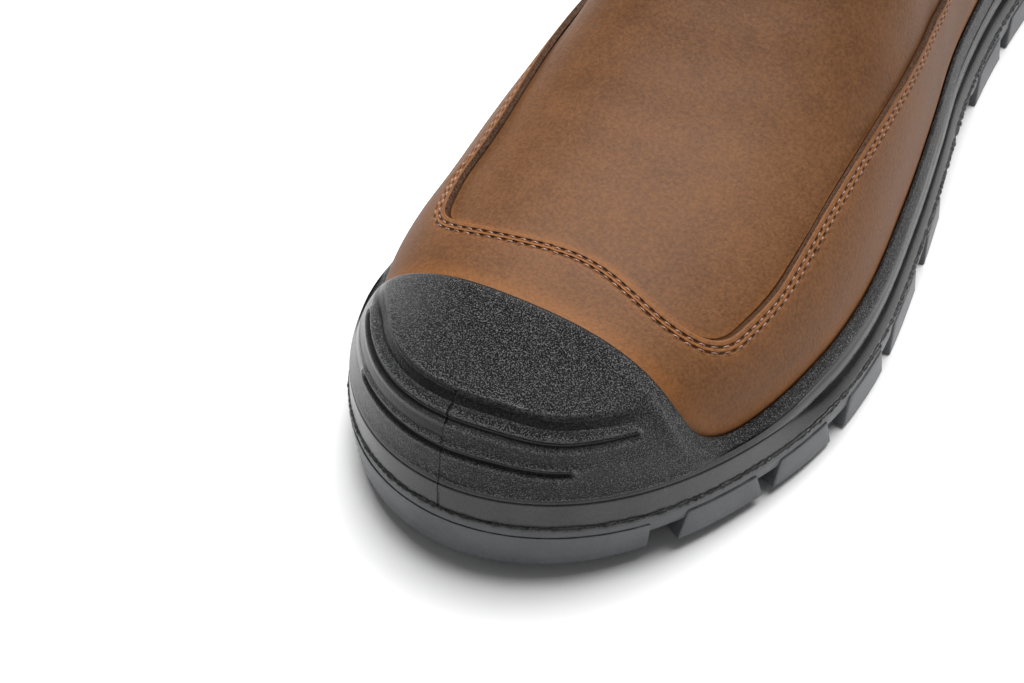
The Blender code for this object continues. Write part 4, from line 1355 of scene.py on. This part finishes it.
def even_levels(low, high, rows):
    """Levels between two, evenly spaced over the upper's face."""
    levels = low + (high - low) * np.linspace(0, 1, FALL_STEPS)[:, None]
    run = travel(on_upper(levels))
    run /= run[-1]
    at = np.linspace(0, 1, rows)
    return np.stack([np.interp(at, run[:, i], levels[:, i]) for i in range(COLUMNS)], 1)


def bumper_finish():
    """Black rubber: coarse cast grain where the mould is etched, smooth elsewhere, and a parting line;
    painted glints on the grain and a painted highlight on the crests.
    """
    material, place = new_finish("bumper_rubber", Specular_IOR_Level=0.28)
    across = place.node("ShaderNodeSeparateXYZ", {"Vector": place}) / MM + (ORIGIN[0] - PARTING_AT)
    grain = place.value("grain") + place.value("sparkle") * across.step(-0.1, 0.1)
    pits = place.cells(0.5, feature="SMOOTH_F1")
    specks = place.noise(0.32, 1.0, 0.5)
    cloud = place.noise(11, 3.0)
    # Painted glints: the grain's specks are coloured lighter, the more so where the grain is stronger
    painted_glints = (specks - 0.52) * 8.0 * grain
    # Painted highlight where the crest value is set: crest, groove lips, ridge and toe band
    shade = (0.08 + cloud * 0.18 + painted_glints + place.value("crest") * (0.2 + specks * 1.0)).step(0.0, 1.0)
    colour = shade.between((0.003, 0.003, 0.0035, 1), (0.115, 0.115, 0.116, 1))
    part = (1 - across.maths("ABSOLUTE").step(0.12, 0.34)) * place.value("parting")
    colour = part.between(colour, (0.002, 0.002, 0.002, 1))
    bump = (specks * 1.5 - pits * 0.5) * grain + place.noise(0.3, 2.0) * 0.05 - part * 1.5
    rough = 0.22 + grain * 0.14 + cloud * 0.08
    dress(material, bump, 0.0008, 1.0, Base_Color=colour, Roughness=rough)
    return material


def bumper_lines(low, start, end):
    """Middle lines of the crest and of each groove on the bumper's face."""
    lines = []
    for height, medial, lateral in zip(*GROOVES.values()):
        level = rise_level(height, 1.0)
        points = on_upper(level)
        share = (level - low) / (RIM_LEVEL - low)
        line = outside(points, start + (end - start) * share)[:FRONT_ARC + 1]
        run = np.arange(FRONT_ARC + 1)
        tip = line[:, 1].argmin()
        first = np.interp(-lateral, -line[:tip + 1, 1], run[:tip + 1])
        last = np.interp(medial, line[tip:, 1], run[tip:])
        at = np.linspace(first, last, 4 * FRONT_ARC)
        lines.append(placed(at, run, line))
    return lines


def bumper_relief(face, outer, rise, cover, lines):
    """Height of the relief on the bumper's face, how deep its grooves are, and the painted highlight along
    its crest, lips and ridge.
    """
    tops = GROOVES["rise"]
    x, along = face[..., 0], face[..., 1]
    distance, _ = nearest_on(lines[0], outer)
    crest_highlight = np.exp(-(distance / CREST_HALF) ** 2)
    relief = CREST_HEIGHT * crest_highlight
    hollow = np.zeros(rise.shape)
    for top, line in zip(tops[1:], lines[1:]):
        distance, _ = nearest_on(line, outer)
        trough = np.clip(1 - (distance / GROOVE_HALF) ** 2, 0, 1)
        lip = np.exp(-((distance - GROOVE_LIP) / LIP_HALF) ** 2)
        crest_highlight = np.maximum(crest_highlight, lip * np.where(rise > top, *LIP_HIGHLIGHT))
        relief = relief + CREST_HEIGHT * lip * np.where(rise > top, *LIP_HEIGHTS) - GROOVE_DEPTH * trough
        hollow = np.maximum(hollow, trough)
    down = (tops[0] - rise) / (tops[0] - tops[1] - GROOVE_LIP)
    flute = ease(down, *FLUTE_TOP) * (1 - ease(down, *FLUTE_FOOT)) * cover
    flute = flute * (1 - np.where(x > 0, ease(along, *FLUTE_LATERAL_END), ease(along, *FLUTE_MEDIAL_END)))
    from_rim, _ = nearest_on(even_line(on_upper(RIM_LEVEL), EDGE_SPACING), face)
    ridge = np.exp(-((from_rim - RIDGE_FROM_RIM) / RIDGE_HALF) ** 2) * cover * ease(x, *RIDGE_ACROSS)
    relief = relief - FLUTE_DEPTH * flute + RIDGE_HEIGHT * ridge
    return relief, hollow, np.maximum(crest_highlight, RIDGE_HIGHLIGHT * ridge)


def bumper_grain(x, rise, share, cover, hollow):
    """Strength of the cast grain and of its sparkle on the bumper's face, and where its grained top lies; the
    grain also sets the painted glints, more along the crests, fewer in the grooves and on the medial side.
    """
    tops = GROOVES["rise"]
    dome = ease(rise - tops[0], *GRAIN_DOME)
    zone = ease(rise - tops[2], *GRAIN_ZONE) * (1 - dome) * (1 - ease(x, *GRAIN_ZONE_SIDE))
    crests = [np.exp(-((rise - top - GRAIN_CREST_RISE) / GRAIN_CREST_HALF) ** 2) for top in tops]
    grain = dome + (1 - dome) * (GRAIN_PLAIN * (1 - zone) + GRAIN_ZONE_SHARE * zone)
    grain = np.maximum(grain, GRAIN_CREST * np.max(crests, axis=0)) * (1 - GRAIN_HOLLOW * hollow)
    grain = grain * (GRAIN_MEDIAL + (1 - GRAIN_MEDIAL) * ease(x, *GRAIN_MEDIAL_SIDE))
    grain = grain * cover + GRAIN_SIDE * ease(share, *GRAIN_SIDE_START) * (1 - cover)
    grain = grain * (1 - GRAIN_RIM * ease(share, *GRAIN_RIM_START) * cover)
    sparkle = (1 - dome) * zone * (1 - hollow) * (SPARKLE_HIGH + SPARKLE_LOW * (rise < tops[1])) * cover
    return grain, sparkle, dome


def closed_rows(points):
    """Faces of rows round the boot, with the first and the last row closed across it."""
    index = np.arange(points.size // 3).reshape(-1, COLUMNS)
    faces = [quads(index)]
    for line in (index[0], index[-1]):
        faces.append(quads(np.stack([line[MEDIAL_HALF], line[LATERAL_HALF]]), closed=False)[1:-1])
    return np.concatenate(faces)


def build_midsole():
    toe = ease(SOLE_EDGE[:, 1], BAND_END, BAND_END - BAND_FADE)
    band = []
    for toe_inset, toe_rise, side_inset, side_rise in zip(*SIDE_STEPS.values()):
        inset = side_inset + (toe_inset - side_inset) * toe
        rise = side_rise + (toe_rise - side_rise) * toe
        band.append(sole_row(inset, lambda place, rise=rise: joint(place) + rise))
    band = np.array(band)
    bead_start = SIDE_STEPS["side_rise"][-1] + BAND_STEP + BEAD_STEP * (1 - toe)
    low = np.minimum(rise_level(bead_start), RIM_LEVEL - RIM_LEAST)
    start = np.linalg.norm((band[-1] - on_upper(low))[:, :2], axis=-1)
    cover = ease(on_upper(RIM_LEVEL)[:, 2], RIM_AT(0), RIM_AT(0) + COVER_RISE)
    end = BUMPER_INNER + RIM_EDGE + (BUMPER_EDGE - RIM_EDGE) * cover
    levels = even_levels(low, RIM_LEVEL, COVER_ROWS)
    face = on_upper(levels)
    out = slope(upper_gap, face)
    share = (levels - low) / (RIM_LEVEL - low)
    outer = face + out * (start + (end - start) * share)[..., None]
    rise = face[..., 2] - joint(face[..., 1]) + groove_fall(face[..., 0])
    relief, hollow, crest_highlight = bumper_relief(face, outer, rise, cover, bumper_lines(low, start, end))
    relief = relief + BEAD_CROWN * np.sin(np.pi * share) * (1 - cover)
    outer = outer + out * relief[..., None]
    inner_levels = np.linspace(1, 0, BUMPER_INNER_ROWS)[:, None] * RIM_LEVEL
    inner = outside(on_upper(inner_levels), np.full(inner_levels.shape, BUMPER_INNER))
    inner[-1][:, 2] -= BUMPER_SINK
    turn = np.linspace(0, np.pi, ROLL_STEPS)[1:-1, None, None]
    middle = (outer[-1] + inner[0]) / 2
    lift = unit(np.gradient(face, axis=0)[-1])
    bead = np.linalg.norm(outer[-1] - inner[0], axis=-1, keepdims=True) / 2
    roll = middle + np.cos(turn) * (outer[-1] - middle) + np.sin(turn) * lift * bead * ROLL_ROUND
    points = np.concatenate([band, outer, roll, inner])
    grain, sparkle, dome = bumper_grain(face[..., 0], rise, share, cover, hollow)
    on_outer = slice(len(band), len(band) + len(outer))
    on_roll = slice(on_outer.stop, on_outer.stop + len(roll))
    values = {name: np.zeros(points.shape[:2]) for name in ("grain", "sparkle", "parting", "crest")}
    values["grain"][len(band) - BAND_GRAINED:len(band)] = grain[0]
    values["grain"][on_outer] = grain
    values["grain"][on_roll] = GRAIN_SIDE * (1 - cover)
    values["sparkle"][on_outer] = sparkle
    values["parting"][:on_outer.stop] = points[:on_outer.stop, :, 1] < PARTING_END
    values["parting"][on_outer] *= 1 - dome
    # Painted highlight on the toe band and along the bumper's crest, lips and ridge
    values["crest"][:len(band)] = BAND_HIGHLIGHT * toe
    values["crest"][on_outer] = crest_highlight * cover
    new_piece("midsole_bumper", points.reshape(-1, 3), [closed_rows(points)], [bumper_finish()],
              "midsole", values, sharp=1.0)


build_midsole()

# Outsole: dark grey nitrile rubber, moulded with deep lugs round its edge and chevrons in the middle.
# It is bonded to the midsole along the joint line, hollowed under the arch and sprung at the toe.
TREAD_SPRING = 4.8
TREAD_SPRING_END = 108.0
PLATE_TOP_BAND = 3.0
TREAD_DEPTH = 5.5
LUG_SINK = 1.5
LUG_LEDGE = 0.4
LUG_FLARE = 0.5
LUG_END_FLARE = 2.2
LUG_WIDTH = 16.0
END_LUG_WIDTH = 13.0
TOE_LUG_END = 22.5
HEEL_LUG_START = 286.0
TOE_LUG_TUCK = -0.8
ARCH_START = 163.0
ARCH_END = 205.0
ARCH_HEIGHT = 8.5
ARCH_SLOPE = 8.0
ARCH_BREAST = 4.5
LUG_ROUND = 0.45
CHEVRON_DROP = 9.0
EDGE_END = 0.02
LUG_STEPS = 9
END_LUG_STEPS = 15
LUG_SHARP = 0.5
TREAD_SHARP = 0.9
PLATE_FOOT_STEPS = ((0.9, 0.0), (0.4, 0.15), (0.15, 0.6))
PLATE_TOP_STEPS = ((0.0, 0.7), (0.4, 0.3))
SIDE_LUGS = table(
    "start end",
    (30.5, 48.5), (56, 72.5), (82.5, 100.5), (110, 130), (143.5, 157.5),
    (207, 225), (234, 251), (260, 276),
)
CHEVRONS = table(
    "point span arm",
    (35, 17, 9), (56, 27, 9), (82, 32, 10), (109, 30, 10), (136, 22, 9),
    (222, 17, 8), (245, 19, 8), (268, 17, 8),
)


def tread(along):
    """Height of the lugs' undersides."""
    return TREAD_SPRING * (1 - ease(along, 0, TREAD_SPRING_END))


def plate_foot(along):
    """Height of the plate's underside, higher under the arch."""
    rise = (ARCH_HEIGHT - ARCH_BREAST) / ARCH_SLOPE
    ramp = np.minimum(along - ARCH_START, ARCH_END - along) * rise + ARCH_BREAST
    arch = np.where((along > ARCH_START) & (along < ARCH_END), np.minimum(ramp, ARCH_HEIGHT), 0)
    return np.maximum(tread(along) + TREAD_DEPTH, arch)


def outsole_finish():
    """Matt grey rubber with a faint bluish cast, dusty in its pores."""
    material, place = new_finish("outsole_rubber", Specular_IOR_Level=0.5)
    cloud = place.noise(14, 3.0)
    pore = place.noise(0.5, 3.0)
    shade = (cloud * 0.7 + pore * 0.45).step(0.3, 0.8)
    colour = shade.between((0.046, 0.048, 0.054, 1), (0.085, 0.088, 0.097, 1))
    dress(material, pore, 0.00012, 0.6, Base_Color=colour, Roughness=0.36 + cloud * 0.1)
    return material


def trench_shade_finish():
    """Near-black colour on the top face of each lug, in the trench under the band: painted shade."""
    material, place = new_finish("trench_painted_shade", Specular_IOR_Level=0.3)
    dust = place.noise(1.2, 3.0)
    colour = dust.step(0.3, 0.8).between((0.006, 0.006, 0.007, 1), (0.02, 0.02, 0.022, 1))
    dress(material, dust, 0.0001, 0.5, Base_Color=colour, Roughness=0.7 + dust * 0.2)
    return material


def edge_point(along, side, out):
    """Point on the sole's outline on one side, moved outwards in plan."""
    along = np.clip(along, EDGE_END, LENGTH - EDGE_END)
    point = np.array([side * rounded_half(side, along, "sole", 0.0, LENGTH), along])
    return point + slope(sole_gap, point[None])[0] * out


def edge_lug(places, sides, flare, depth, spread=0.0):
    """Top and bottom outlines of a lug on the sole's edge, wider below."""
    middle = np.mean(places)
    wider = middle + (places - middle) * (1 + spread / (places[-1] - middle))
    outlines = []
    for row, out in ((places, LUG_LEDGE), (wider, flare)):
        outer = [edge_point(along, side, out) for along, side in zip(row, sides)]
        inner = [edge_point(along, side, -depth) for along, side in zip(row, sides)]
        outlines.append(np.array(outer + inner[::-1]))
    top, bottom = outlines
    head = joint(top[:, 1]) - PLATE_TOP_BAND
    return np.column_stack([top, head]), np.column_stack([bottom, tread(bottom[:, 1])])


def chevron(point, span, arm):
    """Top and bottom outlines of a chevron lug."""
    far = point + CHEVRON_DROP
    corners = [(0, point), (span, far), (span, far + arm), (0, point + arm), (-span, far + arm), (-span, far)]
    plan = np.array(corners, float)
    lateral, medial = [rounded_half(side, point, "sole", 0.0, LENGTH) for side in (1, -1)]
    plan[:, 0] += (lateral - medial) / 2
    floor = tread(plan[:, 1])
    return np.column_stack([plan, floor + TREAD_DEPTH + LUG_SINK]), np.column_stack([plan, floor])


def lug_outlines():
    """Top and bottom outlines of every lug: both edges, the two ends and the chevrons."""
    outlines = []
    for start, end in zip(*SIDE_LUGS.values()):
        for side in (1, -1):
            places = np.linspace(start, end, LUG_STEPS)
            outlines.append(edge_lug(places, [side] * LUG_STEPS, LUG_FLARE, LUG_WIDTH, LUG_END_FLARE))
    from_end = np.linspace(1, 0, END_LUG_STEPS) ** 2
    toe = TOE_LUG_END * from_end
    heel = LENGTH - (LENGTH - HEEL_LUG_START) * from_end
    for places, flare in ((toe, TOE_LUG_TUCK), (heel, LUG_LEDGE)):
        both = np.concatenate([places, places[-2::-1]])
        sides = [1] * len(places) + [-1] * (len(places) - 1)
        outlines.append(edge_lug(both, sides, flare, END_LUG_WIDTH))
    outlines += [chevron(*row) for row in zip(*CHEVRONS.values())]
    return outlines


def build_outsole():
    rows = [sole_row(inset, lambda along, up=up: plate_foot(along) + up) for inset, up in PLATE_FOOT_STEPS]
    rows += [sole_row(inset, lambda along, down=down: joint(along) - down) for inset, down in PLATE_TOP_STEPS]
    plate = np.array(rows)
    finishes = [outsole_finish(), trench_shade_finish()]
    sole = new_piece("outsole_tread", plate.reshape(-1, 3), [closed_rows(plate)], finishes,
                     "outsole")
    work = bmesh.new()
    work.from_mesh(sole.data)
    for top, bottom in lug_outlines():
        lug = bmesh.new()
        upper = [lug.verts.new(point) for point in metres(top)]
        lower = [lug.verts.new(point) for point in metres(bottom)]
        count = len(upper)
        for i in range(count):
            lug.faces.new((lower[i], lower[(i + 1) % count], upper[(i + 1) % count], upper[i]))
        # The top face of each lug is painted near black: painted shade in the trench under the band
        lug.faces.new(upper).material_index = 1
        lug.faces.new(lower[::-1])
        bmesh.ops.recalc_face_normals(lug, faces=lug.faces)
        sharp = [edge for edge in lug.edges if edge.calc_face_angle(0) > LUG_SHARP]
        bmesh.ops.bevel(lug, geom=sharp, offset=LUG_ROUND * MM, segments=2, profile=0.5, affect="EDGES")
        piece = bpy.data.meshes.new("lug")
        lug.to_mesh(piece)
        lug.free()
        work.from_mesh(piece)
        bpy.data.meshes.remove(piece)
    for face in work.faces:
        face.smooth = True
    work.to_mesh(sole.data)
    work.free()
    sole.data.set_sharp_from_angle(angle=TREAD_SHARP)


build_outsole()

# Flash: black rubber pressed out of the mould along the joint while the midsole was cast on the outsole.
# It stays there as a thin rough bead, uneven in its thickness, all round the sole.
FLASH_RADIUS = 0.65
FLASH_WOBBLE = 0.3
FLASH_SPACING = 0.4
FLASH_INSET = 0.15
FLASH_DROP = 0.35
FLASH_UNEVEN = 700.0


def flash_tree():
    """Bead along a line, whose thickness and place wander."""
    tree, given, node = new_tree("pressed_bead", ("Radius", "Wobble"))
    place = node("GeometryNodeInputPosition", {})
    sockets = {"Vector": place, "Scale": FLASH_UNEVEN, "Detail": 2.0}
    size = node("ShaderNodeTexNoise", sockets)
    shift = node("ShaderNodeTexNoise", sockets, out=1)
    shift = node("ShaderNodeVectorMath", {0: shift, 1: (0.5, 0.5, 0.5)}, operation="SUBTRACT")
    shift = node("ShaderNodeVectorMath", {0: shift, "Scale": given["Wobble"]}, operation="SCALE")
    line = node("GeometryNodeMeshToCurve", {"Mesh": given["Geometry"]})
    line = node("GeometryNodeSetPosition", {"Geometry": line, "Offset": shift})
    ring = node("GeometryNodeCurvePrimitiveCircle", {"Resolution": 7, "Radius": given["Radius"]})
    sockets = {"Value": size, "From Min": 0.3, "From Max": 0.7, "To Min": 0.6, "To Max": 1.4}
    scale = node("ShaderNodeMapRange", sockets)
    sockets = {"Curve": line, "Profile Curve": ring, "Scale": scale}
    return end_tree(tree, given, node, node("GeometryNodeCurveToMesh", sockets))


def flash_finish():
    """Shiny torn rubber."""
    material, place = new_finish("flash_rubber", Specular_IOR_Level=0.5)
    torn = place.noise(0.8, 3.0)
    colour = torn.step(0.3, 0.75).between((0.003, 0.003, 0.003, 1), (0.022, 0.022, 0.02, 1))
    dress(material, torn, 0.0004, 0.9, Base_Color=colour, Roughness=0.22 + torn * 0.25)
    return material


def build_flash():
    joint_line = sole_row(FLASH_INSET, lambda along: joint(along) - FLASH_DROP)
    line = even_line(joint_line, FLASH_SPACING)
    numbers = np.arange(len(line))
    links = np.stack([numbers, np.roll(numbers, -1)], -1).tolist()
    mesh = bpy.data.meshes.new("flash_line")
    mesh.from_pydata(metres(line), links, [])
    sizes = {"Radius": FLASH_RADIUS * MM, "Wobble": FLASH_WOBBLE * MM, "Finish": flash_finish()}
    grown("joint_flash", mesh, flash_tree(), sizes)


build_flash()

# Studio: a plain pale floor under one wide soft lamp, high above and behind the boot, in a dim white room.
# The camera stands at the photo's angle, in front of the toe on the lateral side.
FLOOR_SIZE = 6.0
LAMP_AT = (-80, 650, 1450)
LAMP_TARGET = (0, 120, 40)
LAMP_SIZE = 1.8
LAMP_POWER = 62.0
ROOM_STRENGTH = 0.18
CAMERA_AT = (201.4, -337.06, 456.8)
CAMERA_TARGET = (-8.5, 46.3, 25.5)
FOCAL_PIXELS = 2700.0
IMAGE_WIDTH = 1024.0
SENSOR = 36.0


def build_floor():
    half = FLOOR_SIZE / 2
    mesh = bpy.data.meshes.new("floor")
    corners = [(-half, -half, 0), (half, -half, 0), (half, half, 0), (-half, half, 0)]
    mesh.from_pydata(corners, [], [(0, 1, 2, 3)])
    material, place = new_finish("floor_card", Specular_IOR_Level=0.1)
    tint = place.noise(120, 2.0).between((0.90, 0.90, 0.90, 1), (0.92, 0.92, 0.92, 1))
    dress(material, Base_Color=tint, Roughness=0.8 + place.noise(30, 2.0) * 0.1)
    mesh.materials.append(material)
    new_object("floor", mesh)


def aim(thing, at, target):
    """Put a lamp or the camera at one place beside the boot and turn it towards another."""
    thing.location = metres(at)
    thing.rotation_euler = (Vector(metres(target)) - thing.location).to_track_quat("-Z", "Y").to_euler()


build_floor()
lamp = bpy.data.lights.new("top_lamp", "AREA")
lamp.shape = "DISK"
lamp.size = LAMP_SIZE
lamp.energy = LAMP_POWER
aim(new_object("top_lamp", lamp), LAMP_AT, LAMP_TARGET)
world = bpy.data.worlds.new("white_room")
world.use_nodes = True
room = world.node_tree.nodes["Background"].inputs
room["Color"].default_value = (1, 1, 1, 1)
room["Strength"].default_value = ROOM_STRENGTH
bpy.context.scene.world = world
bpy.context.scene.view_settings.view_transform = "Standard"

lens = bpy.data.cameras.new("camera")
lens.sensor_width = SENSOR
lens.lens = FOCAL_PIXELS * SENSOR / IMAGE_WIDTH
camera = new_object("camera", lens)
aim(camera, CAMERA_AT, CAMERA_TARGET)
bpy.context.scene.camera = camera
